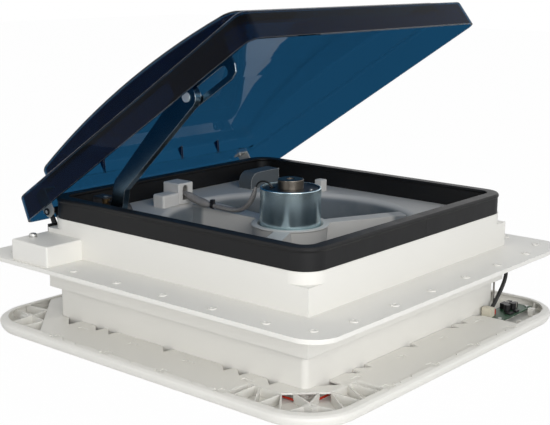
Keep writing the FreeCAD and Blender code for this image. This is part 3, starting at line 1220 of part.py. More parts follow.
# Leads
hole_x = riser_inside
plug = box(hole_x - 19.3, hole_x - 9.3, lead_hole_y - 4, lead_hole_y + 4, -27, -17)
save(plug, "lead_plug")
black_line = lead_line + 4.2
plug_level = -21.0
black_points = [
    (block_mid_x + 4.5, black_line, board_top + 4), (block_mid_x + 10, black_line, board_top + 4),
    (riser_half + 16, black_line, plug_level - 17), (riser_half + 13, lead_hole_y - 6, plug_level - 2),
    (riser_half + 9, lead_hole_y, plug_level), (hole_x - 9.3, lead_hole_y, plug_level),
]
black_cable = cable(black_points, 2.5, 9.0)
save(black_cable, "black_cable")
grey_x = hole_x - 7.8
grey_line = -collar_half - 2.4
grey_points = [
    (grey_x - 2, grey_line - 2, board_top), (grey_x - 2, grey_line - 2, board_top + 6),
    (grey_x, grey_line, board_top + 17), (grey_x, grey_line, plug_level),
    (hole_x - 14.3, grey_line, plug_level), (hole_x - 14.3, lead_hole_y - 4, plug_level),
]
grey_lead = cable(grey_points, 1.2, 5.0)
save(grey_lead, "grey_lead")
motor_x = hole_x - 27.3
motor_y = riser_inside - 29.3
motor_z = plate_top - 20.0
motor_points = [
    (hole_x - 19.3, lead_hole_y, plug_level), (motor_x, lead_hole_y, plug_level),
    (motor_x, lead_hole_y, motor_z), (motor_x, motor_y, motor_z),
    (loom_x, motor_y, motor_z), (loom_x, block_y + 2, motor_z), (loom_x, block_y + 2, loom_end),
]
motor_lead = cable(motor_points, 2.2, 9.0)
save(motor_lead, "motor_lead")
red_lead = cable(red_points, red_radius, 12.0)
save(red_lead, "red_lead")
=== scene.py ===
# %% [markdown]
# This lesson dresses a two-way roof ventilation fan for a caravan or camper. The CAD model
# is loaded first and never moved: it gives every place and size in metres, with the centre
# of the roof flange's top face at the origin. What the CAD shows well only gets a finish,
# and what it can't show, such as woven cloth, is modelled here in its place.

# %% Load the frame
import math

import bpy
from mathutils import Euler, Matrix, Vector


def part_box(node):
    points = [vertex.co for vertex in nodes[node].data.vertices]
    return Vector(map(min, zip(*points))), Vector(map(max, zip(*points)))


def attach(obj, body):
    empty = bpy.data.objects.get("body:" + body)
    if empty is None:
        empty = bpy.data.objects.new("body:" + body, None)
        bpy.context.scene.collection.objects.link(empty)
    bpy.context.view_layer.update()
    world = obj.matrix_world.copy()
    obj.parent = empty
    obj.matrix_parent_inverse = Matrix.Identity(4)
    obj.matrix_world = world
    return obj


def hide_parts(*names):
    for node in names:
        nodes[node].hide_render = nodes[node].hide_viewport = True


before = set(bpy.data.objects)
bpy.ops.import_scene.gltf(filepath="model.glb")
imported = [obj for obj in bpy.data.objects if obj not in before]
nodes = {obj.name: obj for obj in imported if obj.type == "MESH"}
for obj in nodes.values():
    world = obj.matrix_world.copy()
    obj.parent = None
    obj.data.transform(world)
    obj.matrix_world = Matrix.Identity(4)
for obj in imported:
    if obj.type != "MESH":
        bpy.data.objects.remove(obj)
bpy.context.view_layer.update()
mm = 0.001

# %% [markdown]
# The photograph was taken from the front left corner, a little above the rim. Its straight
# edges give the camera: where it stands, where it looks, how long its lens is and how far
# the picture's middle is moved sideways. A camera set this way needs no tracking target.

# %% Camera
camera_data = bpy.data.cameras.new("camera")
camera = bpy.data.objects.new("camera", camera_data)
bpy.context.scene.collection.objects.link(camera)
camera_yaw = math.radians(49.824)
camera_dip = math.radians(12.439)
camera_roll = 0.0073
camera_place = (-1.0451, -0.8528, 0.3420)
turn = Euler((math.pi / 2 - camera_dip, 0.0, -camera_yaw)).to_matrix()
turn = turn @ Matrix.Rotation(camera_roll, 3, "Z")
camera.matrix_world = Matrix.Translation(camera_place) @ turn.to_4x4()
camera_data.sensor_width = 36.0
camera_data.lens = 74.20
camera_data.shift_x = 0.02335
camera_data.clip_start = 0.01
bpy.context.scene.camera = camera
print("camera at", tuple(round(c, 3) for c in camera.location))

# %% [markdown]
# The part is shown as in a shop picture: pale floor, white surroundings and soft light from
# large panels. The world is white only to the camera, to mirrors and to glass. What lights
# the part is greyer, so that a white moulding stays below pure white.

# %% World
world = bpy.data.worlds.new("studio")
bpy.context.scene.world = world
world.use_nodes = True
tree = world.node_tree
tree.nodes.clear()
world_out = tree.nodes.new("ShaderNodeOutputWorld")
seen = tree.nodes.new("ShaderNodeBackground")
seen.inputs["Color"].default_value = (1.0, 1.0, 1.0, 1.0)
seen.inputs["Strength"].default_value = 1.0
lit = tree.nodes.new("ShaderNodeBackground")
lit.inputs["Color"].default_value = (0.94, 0.97, 1.0, 1.0)
lit.inputs["Strength"].default_value = 0.40
choose = tree.nodes.new("ShaderNodeMixShader")
path = tree.nodes.new("ShaderNodeLightPath")
either = tree.nodes.new("ShaderNodeMath")
either.operation = "MAXIMUM"
mirrored = tree.nodes.new("ShaderNodeMath")
mirrored.operation = "MAXIMUM"
tree.links.new(path.outputs["Is Camera Ray"], either.inputs[0])
tree.links.new(path.outputs["Is Transmission Ray"], either.inputs[1])
tree.links.new(either.outputs[0], mirrored.inputs[0])
tree.links.new(path.outputs["Is Glossy Ray"], mirrored.inputs[1])
tree.links.new(mirrored.outputs[0], choose.inputs["Fac"])
tree.links.new(lit.outputs[0], choose.inputs[1])
tree.links.new(seen.outputs[0], choose.inputs[2])
tree.links.new(choose.outputs[0], world_out.inputs["Surface"])
bpy.context.scene.view_settings.view_transform = "Standard"


# %% Studio panels
def panel(name, place, aim, width, height, watts):
    """A soft rectangular lamp at a place, turned to face a point."""
    lamp = bpy.data.lights.new(name, "AREA")
    lamp.shape = "RECTANGLE"
    lamp.size = width
    lamp.size_y = height
    lamp.energy = watts
    holder = bpy.data.objects.new(name, lamp)
    bpy.context.scene.collection.objects.link(holder)
    holder.location = place
    holder.rotation_euler = (Vector(aim) - Vector(place)).to_track_quat("-Z", "Y").to_euler()


panel("front", (-1.25, -1.95, 0.75), (0, 0, 0), 2.0, 1.2, 36)
panel("over", (0.3, 0.3, 2.4), (0, 0, 0), 2.0, 2.0, 9)
panel("left", (-2.1, 0.15, 0.35), (0, 0, 0), 1.4, 0.9, 5)
print("three panels")

# %% [markdown]
# The floor is one large sheet at the height of the trim ring's foot. Camera and glass rays
# see it nearly white, and mirrors see it as it is lit. It takes the part's soft shadow, but
# with so large a share of glow the camera sees hardly any of it.

# %% Floor
bpy.ops.object.select_all(action="DESELECT")
floor_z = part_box("trim_ring")[0][2]
floor_side = 12.0
floor_gap = 0.0002  # keeps the floor just clear of the ring's foot
glow_share = 0.98
bpy.ops.mesh.primitive_plane_add(size=floor_side, location=(0, 0, floor_z - floor_gap))
floor = bpy.context.object
floor.name = "studio_floor"
paint = bpy.data.materials.new("studio_floor")
paint.use_nodes = True
tree = paint.node_tree
shader = tree.nodes["Principled BSDF"]
shader.inputs["Base Color"].default_value = (0.93, 0.93, 0.93, 1.0)
shader.inputs["Roughness"].default_value = 0.7
glow = tree.nodes.new("ShaderNodeEmission")
glow.inputs["Color"].default_value = (1.0, 1.0, 1.0, 1.0)
path = tree.nodes.new("ShaderNodeLightPath")
either = tree.nodes.new("ShaderNodeMath")
either.operation = "MAXIMUM"
share = tree.nodes.new("ShaderNodeMath")
share.operation = "MULTIPLY"
share.inputs[1].default_value = glow_share
mix = tree.nodes.new("ShaderNodeMixShader")
tree.links.new(path.outputs["Is Camera Ray"], either.inputs[0])
tree.links.new(path.outputs["Is Transmission Ray"], either.inputs[1])
tree.links.new(either.outputs[0], share.inputs[0])
tree.links.new(share.outputs[0], mix.inputs["Fac"])
tree.links.new(shader.outputs[0], mix.inputs[1])
tree.links.new(glow.outputs[0], mix.inputs[2])
tree.links.new(mix.outputs[0], tree.nodes["Material Output"].inputs["Surface"])
floor.data.materials.append(paint)
print("floor at", round(floor_z, 4))

# %% [markdown]
# Every finish needs the same small faults: a colour that drifts a little across the piece,
# a fine grain from the mould, and scuffs that show mostly in the shine. They are made once
# as node groups with named inputs, and each finish puts in its own values.


# %% Shared effects
def new_group(name, ins, outs):
    """An empty shader group with the named sockets."""
    group = bpy.data.node_groups.new(name, "ShaderNodeTree")
    for title, kind, value in ins:
        socket = group.interface.new_socket(name=title, in_out="INPUT", socket_type=kind)
        socket.default_value = value
    for title, kind in outs:
        group.interface.new_socket(name=title, in_out="OUTPUT", socket_type=kind)
    start = group.nodes.new("NodeGroupInput")
    end = group.nodes.new("NodeGroupOutput")
    return group, start, end


def add(tree, kind, **values):
    """One node, with its settings and its input values by name."""
    node = tree.nodes.new(kind)
    for key, value in values.items():
        if hasattr(node, key):
            setattr(node, key, value)
        else:
            node.inputs[key.replace("_", " ")].default_value = value
    return node


NUMBER = "NodeSocketFloat"
COLOUR = "NodeSocketColor"
noise_middle = 0.5  # the value that the noise lies about
relief_depth = 0.0004
mould, start, end = new_group(
    "moulded_surface",
    [("Colour", COLOUR, (0.8, 0.8, 0.8, 1)), ("Drift", NUMBER, 0.05), ("Grain Size", NUMBER, 900.0),
     ("Roughness", NUMBER, 0.4), ("Scuffs", NUMBER, 0.1)],
    [("Colour", COLOUR), ("Roughness", NUMBER), ("Height", NUMBER)],
)
place = add(mould, "ShaderNodeTexCoord")
slow = add(mould, "ShaderNodeTexNoise", Scale=7.0, Detail=3.0)
fine = add(mould, "ShaderNodeTexNoise", Detail=2.0)
scuff = add(mould, "ShaderNodeTexNoise", Scale=38.0, Detail=6.0, Roughness=0.7)
mould.links.new(place.outputs["Object"], slow.inputs["Vector"])
mould.links.new(place.outputs["Object"], fine.inputs["Vector"])
mould.links.new(place.outputs["Object"], scuff.inputs["Vector"])
mould.links.new(start.outputs["Grain Size"], fine.inputs["Scale"])
centre = add(mould, "ShaderNodeMath", operation="SUBTRACT")
centre.inputs[1].default_value = noise_middle
drift = add(mould, "ShaderNodeMath", operation="MULTIPLY_ADD")
drift.inputs[2].default_value = 1.0
tint = add(mould, "ShaderNodeVectorMath", operation="SCALE")
mould.links.new(slow.outputs["Fac"], centre.inputs[0])
mould.links.new(centre.outputs[0], drift.inputs[0])
mould.links.new(start.outputs["Drift"], drift.inputs[1])
mould.links.new(start.outputs["Colour"], tint.inputs[0])
mould.links.new(drift.outputs[0], tint.inputs["Scale"])
mould.links.new(tint.outputs[0], end.inputs["Colour"])
centre = add(mould, "ShaderNodeMath", operation="SUBTRACT")
centre.inputs[1].default_value = noise_middle
rough = add(mould, "ShaderNodeMath", operation="MULTIPLY_ADD")
mould.links.new(scuff.outputs["Fac"], centre.inputs[0])
mould.links.new(centre.outputs[0], rough.inputs[0])
mould.links.new(start.outputs["Scuffs"], rough.inputs[1])
mould.links.new(start.outputs["Roughness"], rough.inputs[2])
mould.links.new(rough.outputs[0], end.inputs["Roughness"])
mould.links.new(fine.outputs["Fac"], end.inputs["Height"])
print("group", mould.name)


# %% Finish for mouldings
def finish_of(name, colour, roughness, drift=0.05, scuffs=0.12, bump=0.06, edge=0.0006,
              metallic=0.0, gloss=0.5):
    """A moulded or cast finish: drifting colour, mould grain, scuffed shine, soft edges."""
    material = bpy.data.materials.new(name)
    material.use_nodes = True
    tree = material.node_tree
    shader = tree.nodes["Principled BSDF"]
    shader.inputs["Metallic"].default_value = metallic
    shader.inputs["Specular IOR Level"].default_value = gloss
    surface = add(tree, "ShaderNodeGroup", node_tree=mould)
    surface.inputs["Colour"].default_value = (*colour, 1.0)
    surface.inputs["Drift"].default_value = drift
    surface.inputs["Roughness"].default_value = roughness
    surface.inputs["Scuffs"].default_value = scuffs
    relief = add(tree, "ShaderNodeBump", Strength=bump, Distance=relief_depth)
    rounding = add(tree, "ShaderNodeBevel", samples=4, Radius=edge)
    tree.links.new(surface.outputs["Colour"], shader.inputs["Base Color"])
    tree.links.new(surface.outputs["Roughness"], shader.inputs["Roughness"])
    tree.links.new(surface.outputs["Height"], relief.inputs["Height"])
    tree.links.new(rounding.outputs[0], relief.inputs["Normal"])
    tree.links.new(relief.outputs[0], shader.inputs["Normal"])
    return material


def dress(material, *names):
    """Puts one finish on CAD nodes, in place of the plain colour they came with."""
    for name in names:
        slots = nodes[name].data.materials
        slots.clear()
        slots.append(material)
    print(material.name, "on", len(names), "nodes")


def linear(*values):
    """A colour read as 0 to 255 from a screen, turned into the numbers that light adds up in."""
    shares = [v / 255 for v in values]
    return [s / 12.92 if s <= 0.04045 else ((s + 0.055) / 1.055) ** 2.4 for s in shares]


# %% [markdown]
# A highlight is painted into the colour along the edges of the stamped steel, the hinge
# plates and the scoop, and a clear plastic edge gathers light. One group finds edges: close
# to one, the rounded normal leans away from the face's own normal. A small lean is let off,
# so that gentle curves stay out of the mask.

# %% Edges
edge_reach = 0.0014  # metres to either side of an edge
edge_limit = 0.93  # how alike the two normals still are where the mask begins
edges, start, end = new_group("bright_edges", [("Gain", NUMBER, 6.0)], [("Mask", NUMBER)])
soft = add(edges, "ShaderNodeBevel", samples=8, Radius=edge_reach)
face = add(edges, "ShaderNodeNewGeometry")
alike = add(edges, "ShaderNodeVectorMath", operation="DOT_PRODUCT")
away = add(edges, "ShaderNodeMath", operation="SUBTRACT")
away.inputs[0].default_value = edge_limit
strong = add(edges, "ShaderNodeMath", operation="MULTIPLY", use_clamp=True)
edges.links.new(soft.outputs[0], alike.inputs[0])
edges.links.new(face.outputs["Normal"], alike.inputs[1])
edges.links.new(alike.outputs["Value"], away.inputs[1])
edges.links.new(away.outputs[0], strong.inputs[0])
edges.links.new(start.outputs["Gain"], strong.inputs[1])
edges.links.new(strong.outputs[0], end.inputs["Mask"])


def with_painted_edge_highlight(material, highlight_colour):
    """Paints a highlight into a finish's colour along its edges."""
    tree = material.node_tree
    shader = tree.nodes["Principled BSDF"]
    before = shader.inputs["Base Color"].links[0].from_socket
    mask = add(tree, "ShaderNodeGroup", node_tree=edges)
    blend = add(tree, "ShaderNodeMix", data_type="RGBA")
    blend.inputs[7].default_value = (*highlight_colour, 1.0)
    tree.links.new(mask.outputs["Mask"], blend.inputs[0])
    tree.links.new(before, blend.inputs[6])
    tree.links.new(blend.outputs[2], shader.inputs["Base Color"])
    return material


print("group", edges.name)

# %% [markdown]
# The white mouldings are one warm white plastic with a fine spark-eroded skin. The seal is
# matt rubber, which shines only at a low angle, so its gloss is turned down. The scoop's grey
# is darker than the other grey mouldings, as painted shade, with a painted highlight along
# its edges.

# %% Plastics and rubber
white = finish_of("white_moulding", linear(232, 230, 224), 0.42)
dress(white, "roof_frame", "cable_housing", "collar", "trim_ring", "screen_frame", "lift_knob",
      "button_1", "button_2", "button_3", "lead_plug")
grey = finish_of("grey_moulding", linear(205, 203, 199), 0.5)
dress(grey, "wire_block", "rim_post")
# The scoop's darker grey is painted shade, and its bright edges a painted highlight.
scoop_shade_and_highlight = with_painted_edge_highlight(finish_of("scoop_moulding", linear(84, 90, 94), 0.45), linear(215, 215, 212))
dress(scoop_shade_and_highlight, "scoop_bracket")
rubber = finish_of("black_rubber", linear(20, 20, 21), 0.46, drift=0.3, scuffs=0.3, bump=0.2,
                   gloss=0.25)
dress(rubber, "rim_gasket")
black = finish_of("black_moulding", linear(26, 26, 28), 0.38, gloss=0.3)
dress(black, "motor_cap", "hinge_brackets", "cable_tie", "brush_gear")

# %% [markdown]
# The throat's wall is painted a darker, bluer grey than the plate round it: painted shade,
# where little light gets down the throat, tinted with the blue of the lid above. A mask that
# depends on the distance from the fan's axis lays that painted shade on the wall and on the
# blades, and leaves the plate, the cup and the spokes' tops.

# %% Painted shade in the throat
to_fan_axis = (0.0, 0.015, 0.0)  # moves the fan's axis onto the origin
fade_height = 0.006  # below its top the painted shade sets in over this height
# Painted shade: a darker, bluer grey laid by distance from the fan's axis, below a given height.
throat_shade, start, end = new_group(
    "painted_throat_shade",
    [("Colour", COLOUR, (0.8, 0.8, 0.8, 1)), ("Shade Colour", COLOUR, (0.1, 0.12, 0.14, 1)),
     ("From", NUMBER, 0.12), ("To", NUMBER, 0.13), ("Top", NUMBER, 0.04)],
    [("Colour", COLOUR)],
)
place = add(throat_shade, "ShaderNodeTexCoord")
shift = add(throat_shade, "ShaderNodeVectorMath", operation="ADD")
shift.inputs[1].default_value = to_fan_axis
flat = add(throat_shade, "ShaderNodeVectorMath", operation="MULTIPLY")
flat.inputs[1].default_value = (1.0, 1.0, 0.0)
far = add(throat_shade, "ShaderNodeVectorMath", operation="LENGTH")
ring_mask = add(throat_shade, "ShaderNodeMapRange", interpolation_type="SMOOTHSTEP")
parts_of = add(throat_shade, "ShaderNodeSeparateXYZ")
low_mask = add(throat_shade, "ShaderNodeMapRange", interpolation_type="SMOOTHSTEP")
low_mask.inputs["To Min"].default_value = 1.0
low_mask.inputs["To Max"].default_value = 0.0
rise = add(throat_shade, "ShaderNodeMath", operation="SUBTRACT")
rise.inputs[1].default_value = fade_height
both_masks = add(throat_shade, "ShaderNodeMath", operation="MULTIPLY")
cloud = add(throat_shade, "ShaderNodeTexNoise", Scale=24.0, Detail=4.0)
patchy = add(throat_shade, "ShaderNodeMapRange")
patchy.inputs["From Min"].default_value = 0.2
patchy.inputs["From Max"].default_value = 0.6
patchy.inputs["To Min"].default_value = 0.75
share_of = add(throat_shade, "ShaderNodeMath", operation="MULTIPLY")
blend = add(throat_shade, "ShaderNodeMix", data_type="RGBA")
throat_shade.links.new(place.outputs["Object"], shift.inputs[0])
throat_shade.links.new(shift.outputs[0], flat.inputs[0])
throat_shade.links.new(flat.outputs[0], far.inputs[0])
throat_shade.links.new(far.outputs["Value"], ring_mask.inputs["Value"])
throat_shade.links.new(start.outputs["From"], ring_mask.inputs["From Min"])
throat_shade.links.new(start.outputs["To"], ring_mask.inputs["From Max"])
throat_shade.links.new(place.outputs["Object"], parts_of.inputs[0])
throat_shade.links.new(parts_of.outputs["Z"], low_mask.inputs["Value"])
throat_shade.links.new(start.outputs["Top"], rise.inputs[0])
throat_shade.links.new(rise.outputs[0], low_mask.inputs["From Min"])
throat_shade.links.new(start.outputs["Top"], low_mask.inputs["From Max"])
throat_shade.links.new(ring_mask.outputs[0], both_masks.inputs[0])
throat_shade.links.new(low_mask.outputs[0], both_masks.inputs[1])
throat_shade.links.new(place.outputs["Object"], cloud.inputs["Vector"])
throat_shade.links.new(cloud.outputs["Fac"], patchy.inputs["Value"])
throat_shade.links.new(both_masks.outputs[0], share_of.inputs[0])
throat_shade.links.new(patchy.outputs[0], share_of.inputs[1])
throat_shade.links.new(share_of.outputs[0], blend.inputs[0])
throat_shade.links.new(start.outputs["Colour"], blend.inputs[6])
throat_shade.links.new(start.outputs["Shade Colour"], blend.inputs[7])
throat_shade.links.new(blend.outputs[2], end.inputs["Colour"])


def with_painted_shade(name, colour, shade_colour, inner, outer, top, roughness):
    """A moulded finish with painted shade, tinted with the lid's blue, over part of it."""
    material = finish_of(name, colour, roughness)
    tree = material.node_tree
    surface = next(n for n in tree.nodes if n.type == "GROUP")
    shade_layer = add(tree, "ShaderNodeGroup", node_tree=throat_shade)
    shade_layer.inputs["Shade Colour"].default_value = (*shade_colour, 1.0)
    shade_layer.inputs["From"].default_value = inner
    shade_layer.inputs["To"].default_value = outer
    shade_layer.inputs["Top"].default_value = top
    tree.links.new(surface.outputs["Colour"], shade_layer.inputs["Colour"])
    tree.links.new(shade_layer.outputs["Colour"], tree.nodes["Principled BSDF"].inputs["Base Color"])
    return material


# The throat's wall and the blades get painted shade, tinted with the lid's blue.
plate = with_painted_shade("grey_plate", linear(205, 203, 199), linear(112, 120, 126),
              inner=0.128, outer=0.136, top=0.040, roughness=0.5)
dress(plate, "fan_plate")
blades = with_painted_shade("grey_blades", linear(190, 190, 188), linear(120, 126, 130),
               inner=0.044, outer=0.060, top=0.060, roughness=0.5)
dress(blades, "impeller")

# %% [markdown]
# The motor can is drawn from zinc plated sheet, which leaves faint upright streaks, so its
# noise is stretched along the axis. The lift arm and its rail are stamped steel, darker and
# smoother, and their colour is tinted blue as a painted reflection of the lid above them.
# Their edges and those of the hinge plates get a painted highlight, and grease has darkened
# the lift gear and its worm.

# %% Metals
streaks, start, end = new_group(
    "drawn_surface",
    [("Colour", COLOUR, (0.6, 0.6, 0.6, 1)), ("Drift", NUMBER, 0.3), ("Roughness", NUMBER, 0.25)],
    [("Colour", COLOUR), ("Roughness", NUMBER), ("Height", NUMBER)],
)
place = add(streaks, "ShaderNodeTexCoord")
squeeze = add(streaks, "ShaderNodeMapping")
squeeze.inputs["Scale"].default_value = (1.0, 1.0, 0.03)
broad = add(streaks, "ShaderNodeTexNoise", Scale=55.0, Detail=3.0)
narrow = add(streaks, "ShaderNodeTexNoise", Scale=520.0, Detail=2.0)
middle = add(streaks, "ShaderNodeMath", operation="SUBTRACT")
middle.inputs[1].default_value = noise_middle
shade = add(streaks, "ShaderNodeMath", operation="MULTIPLY_ADD")
shade.inputs[2].default_value = 1.0
tinted_steel = add(streaks, "ShaderNodeVectorMath", operation="SCALE")
rough = add(streaks, "ShaderNodeMath", operation="MULTIPLY_ADD")
rough.inputs[1].default_value = 0.12
streaks.links.new(place.outputs["Object"], squeeze.inputs["Vector"])
streaks.links.new(squeeze.outputs[0], broad.inputs["Vector"])
streaks.links.new(squeeze.outputs[0], narrow.inputs["Vector"])
streaks.links.new(broad.outputs["Fac"], middle.inputs[0])
streaks.links.new(middle.outputs[0], shade.inputs[0])
streaks.links.new(start.outputs["Drift"], shade.inputs[1])
streaks.links.new(start.outputs["Colour"], tinted_steel.inputs[0])
streaks.links.new(shade.outputs[0], tinted_steel.inputs["Scale"])
streaks.links.new(tinted_steel.outputs[0], end.inputs["Colour"])
streaks.links.new(middle.outputs[0], rough.inputs[0])
streaks.links.new(start.outputs["Roughness"], rough.inputs[2])
streaks.links.new(rough.outputs[0], end.inputs["Roughness"])
streaks.links.new(narrow.outputs["Fac"], end.inputs["Height"])

zinc = finish_of("zinc_plate", linear(190, 190, 188), 0.35, metallic=1.0)
dress(zinc, "plate_screws", "motor_cap_screws", "motor_screws", "block_screws", "rail_screws",
      "hinge_plate_screws", "hinge_bracket_screws", "crank_shaft", "trim_screws",
      "screen_screws", "board_screws", "housing_screw", "motor_shaft", "impeller_clip")
pivot = finish_of("pivot_steel", linear(232, 232, 230), 0.4, metallic=0.6)
dress(pivot, "arm_pin")
plated = finish_of("hinge_steel", linear(176, 175, 170), 0.45, metallic=0.25)
# Painted highlight along the hinge plates' edges.
with_painted_edge_highlight(plated, linear(225, 224, 220))
dress(plated, "hinge_plates")
gearbox = finish_of("greased_steel", linear(74, 74, 76), 0.5, metallic=0.8)
dress(gearbox, "lift_gear", "lift_shaft", "lift_bracket", "lift_bracket_screws")
# The blue in this steel's colour is a painted reflection of the lid.
stamped = finish_of("stamped_steel", linear(92, 112, 124), 0.24, drift=0.2, metallic=1.0, bump=0.03,
                    edge=0.0012)
# Painted highlight along the edges of the arm and the rail.
with_painted_edge_highlight(stamped, linear(225, 228, 230))
dress(stamped, "lift_arm", "slide_rail")
can_tint = linear(205, 226, 232)
drawn = finish_of("motor_steel", can_tint, 0.22, metallic=1.0, bump=0.02)
surface = next(n for n in drawn.node_tree.nodes if n.type == "GROUP")
skin = add(drawn.node_tree, "ShaderNodeGroup", node_tree=streaks)
skin.inputs["Colour"].default_value = (*can_tint, 1.0)
skin.inputs["Drift"].default_value = 0.5
skin.inputs["Roughness"].default_value = 0.24
steel = drawn.node_tree.nodes["Principled BSDF"]
relief = next(n for n in drawn.node_tree.nodes if n.type == "BUMP")
drawn.node_tree.links.new(skin.outputs["Colour"], steel.inputs["Base Color"])
drawn.node_tree.links.new(skin.outputs["Roughness"], steel.inputs["Roughness"])
drawn.node_tree.links.new(skin.outputs["Height"], relief.inputs["Height"])
drawn.node_tree.nodes.remove(surface)
dress(drawn, "motor_can")
brown = finish_of("bearing_steel", linear(118, 112, 104), 0.35, metallic=1.0)
dress(brown, "bearing_housing")
bronze = finish_of("sintered_bronze", linear(190, 150, 95), 0.4, metallic=1.0)
dress(bronze, "motor_bushes", "commutator")
greased_bronze = finish_of("greased_bronze", linear(96, 78, 52), 0.5, metallic=0.8)
dress(greased_bronze, "lift_worm")
ferrite = finish_of("ferrite", linear(60, 60, 64), 0.6)
dress(ferrite, "motor_magnets", "armature")

# %% [markdown]
# The parts on the control board are one piece, so their colours change at stated places
# along it.


# %% Small electrical parts
def by_range(name, axis, first, steps, roughness):
    """A finish whose colour changes at stated places along one axis, in metres."""
    material = finish_of(name, first, roughness)
    tree = material.node_tree
    surface = next(n for n in tree.nodes if n.type == "GROUP")
    place = add(tree, "ShaderNodeTexCoord")
    split = add(tree, "ShaderNodeSeparateXYZ")
    tree.links.new(place.outputs["Object"], split.inputs[0])
    colour = add(tree, "ShaderNodeRGB")
    colour.outputs[0].default_value = (*first, 1.0)
    last = colour.outputs[0]
    for limit, paint in steps:
        past = add(tree, "ShaderNodeMath", operation="GREATER_THAN")
        past.inputs[1].default_value = limit
        swap = add(tree, "ShaderNodeMix", data_type="RGBA")
        swap.inputs[7].default_value = (*paint, 1.0)
        tree.links.new(split.outputs[axis], past.inputs[0])
        tree.links.new(past.outputs[0], swap.inputs[0])
        tree.links.new(last, swap.inputs[6])
        last = swap.outputs[2]
    tree.links.new(last, surface.inputs["Colour"])
    return material


board = finish_of("circuit_board", linear(30, 70, 45), 0.4)
dress(board, "control_board")
cream = linear(214, 208, 190)
dark = linear(24, 24, 26)
dull_red = linear(150, 40, 28)
pale = linear(206, 200, 190)
board_steps = [(0.1674, dull_red), (0.1800, dark), (0.2110, pale), (0.2145, dark)]
dress(by_range("board_parts", "X", cream, board_steps, 0.4), "board_parts")

# %% [markdown]
# The hinge pin's head is a dark ring round a bright end. One piece has both colours, so the
# colour goes by the distance from the hinge's axis.

# %% Hinge pins
hinge_axis = (0.0, 0.212, 0.045)
bright_end = 0.0019
dark_ring = 0.0023
pins = finish_of("hinge_pin", linear(30, 30, 30), 0.4)
tree = pins.node_tree
place = add(tree, "ShaderNodeTexCoord")
shift = add(tree, "ShaderNodeVectorMath", operation="SUBTRACT")
shift.inputs[1].default_value = hinge_axis
flat = add(tree, "ShaderNodeVectorMath", operation="MULTIPLY")
flat.inputs[1].default_value = (0.0, 1.0, 1.0)
far = add(tree, "ShaderNodeVectorMath", operation="LENGTH")
ring = add(tree, "ShaderNodeMapRange", interpolation_type="SMOOTHSTEP")
ring.inputs["From Min"].default_value = bright_end
ring.inputs["From Max"].default_value = dark_ring
blend = add(tree, "ShaderNodeMix", data_type="RGBA")
blend.inputs[6].default_value = (*linear(190, 190, 186), 1.0)
blend.inputs[7].default_value = (*linear(22, 22, 24), 1.0)
tree.links.new(place.outputs["Object"], shift.inputs[0])
tree.links.new(shift.outputs[0], flat.inputs[0])
tree.links.new(flat.outputs[0], far.inputs[0])
tree.links.new(far.outputs["Value"], ring.inputs["Value"])
tree.links.new(ring.outputs[0], blend.inputs[0])
surface = next(n for n in tree.nodes if n.type == "GROUP")
tree.links.new(blend.outputs[2], surface.inputs["Colour"])
dress(pins, "hinge_pins")

# %% [markdown]
# The lid is one moulding in clear blue acrylic. Two walls of it let little light through, so
# the outside looks nearly black and the inside a deep blue. Its shine is kept low on the
# shader's own sockets, because the studio is white all round. Only along the edges does a
# strong coat catch the thin lines of light that the rim shows.

# %% Tinted lid
tinted = bpy.data.materials.new("tinted_lid")
tinted.use_nodes = True
tree = tinted.node_tree
shader = tree.nodes["Principled BSDF"]
shader.inputs["Transmission Weight"].default_value = 1.0
shader.inputs["IOR"].default_value = 1.15
shader.inputs["Specular IOR Level"].default_value = 0.3
surface = add(tree, "ShaderNodeGroup", node_tree=mould)
surface.inputs["Colour"].default_value = (*linear(22, 66, 97), 1.0)
surface.inputs["Drift"].default_value = 0.12
surface.inputs["Roughness"].default_value = 0.02
surface.inputs["Scuffs"].default_value = 0.05
tree.links.new(surface.outputs["Colour"], shader.inputs["Base Color"])
tree.links.new(surface.outputs["Roughness"], shader.inputs["Roughness"])
shader.inputs["Coat IOR"].default_value = 2.2
shader.inputs["Coat Roughness"].default_value = 0.12
rim = add(tree, "ShaderNodeGroup", node_tree=edges)
rim.inputs["Gain"].default_value = 8.0
tree.links.new(rim.outputs["Mask"], shader.inputs["Coat Weight"])
dress(tinted, "lid")

# %% [markdown]
# The wires are next. Each is one smooth line through the places where it leaves a part,
# bends and ends, and the line carries the wire's real thickness. A fixed wire keeps close
# to the walls that hold it.


# %% Wires in plain jackets
def smooth_line(name, points):
    """A curve of one smooth spline that is steered by the points, given in millimetres."""
    curve = bpy.data.curves.new(name, "CURVE")
    curve.dimensions = "3D"
    spline = curve.splines.new("NURBS")
    spline.points.add(len(points) - 1)
    for knot, spot in zip(spline.points, points):
        knot.co = (*[c * mm for c in spot], 1.0)
    spline.order_u = 3
    spline.use_endpoint_u = True
    spline.resolution_u = 10
    piece = bpy.data.objects.new(name, curve)
    bpy.context.scene.collection.objects.link(piece)
    return piece


def along(points):
    """The places that the smooth line passes, in metres, for a piece that follows it."""
    guide = smooth_line("guide", points)
    bpy.context.view_layer.update()
    mesh = bpy.data.meshes.new_from_object(guide)
    line = [v.co.copy() for v in mesh.vertices]
    bpy.data.objects.remove(guide)
    bpy.data.meshes.remove(mesh)
    return line


def length_of(line):
    return sum((b - a).length for a, b in zip(line, line[1:]))


def wire(name, points, radius, material, stands_for):
    """A round wire in its jacket, held by the frame."""
    piece = smooth_line(name, points)
    piece.data.bevel_depth = radius * mm
    piece.data.bevel_resolution = 3
    piece.data.use_fill_caps = True
    piece.data.materials.append(material)
    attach(piece, "frame")
    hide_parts(stands_for)
    long = length_of(along(points))
    print(name, "is", round(long, 4), "m long")


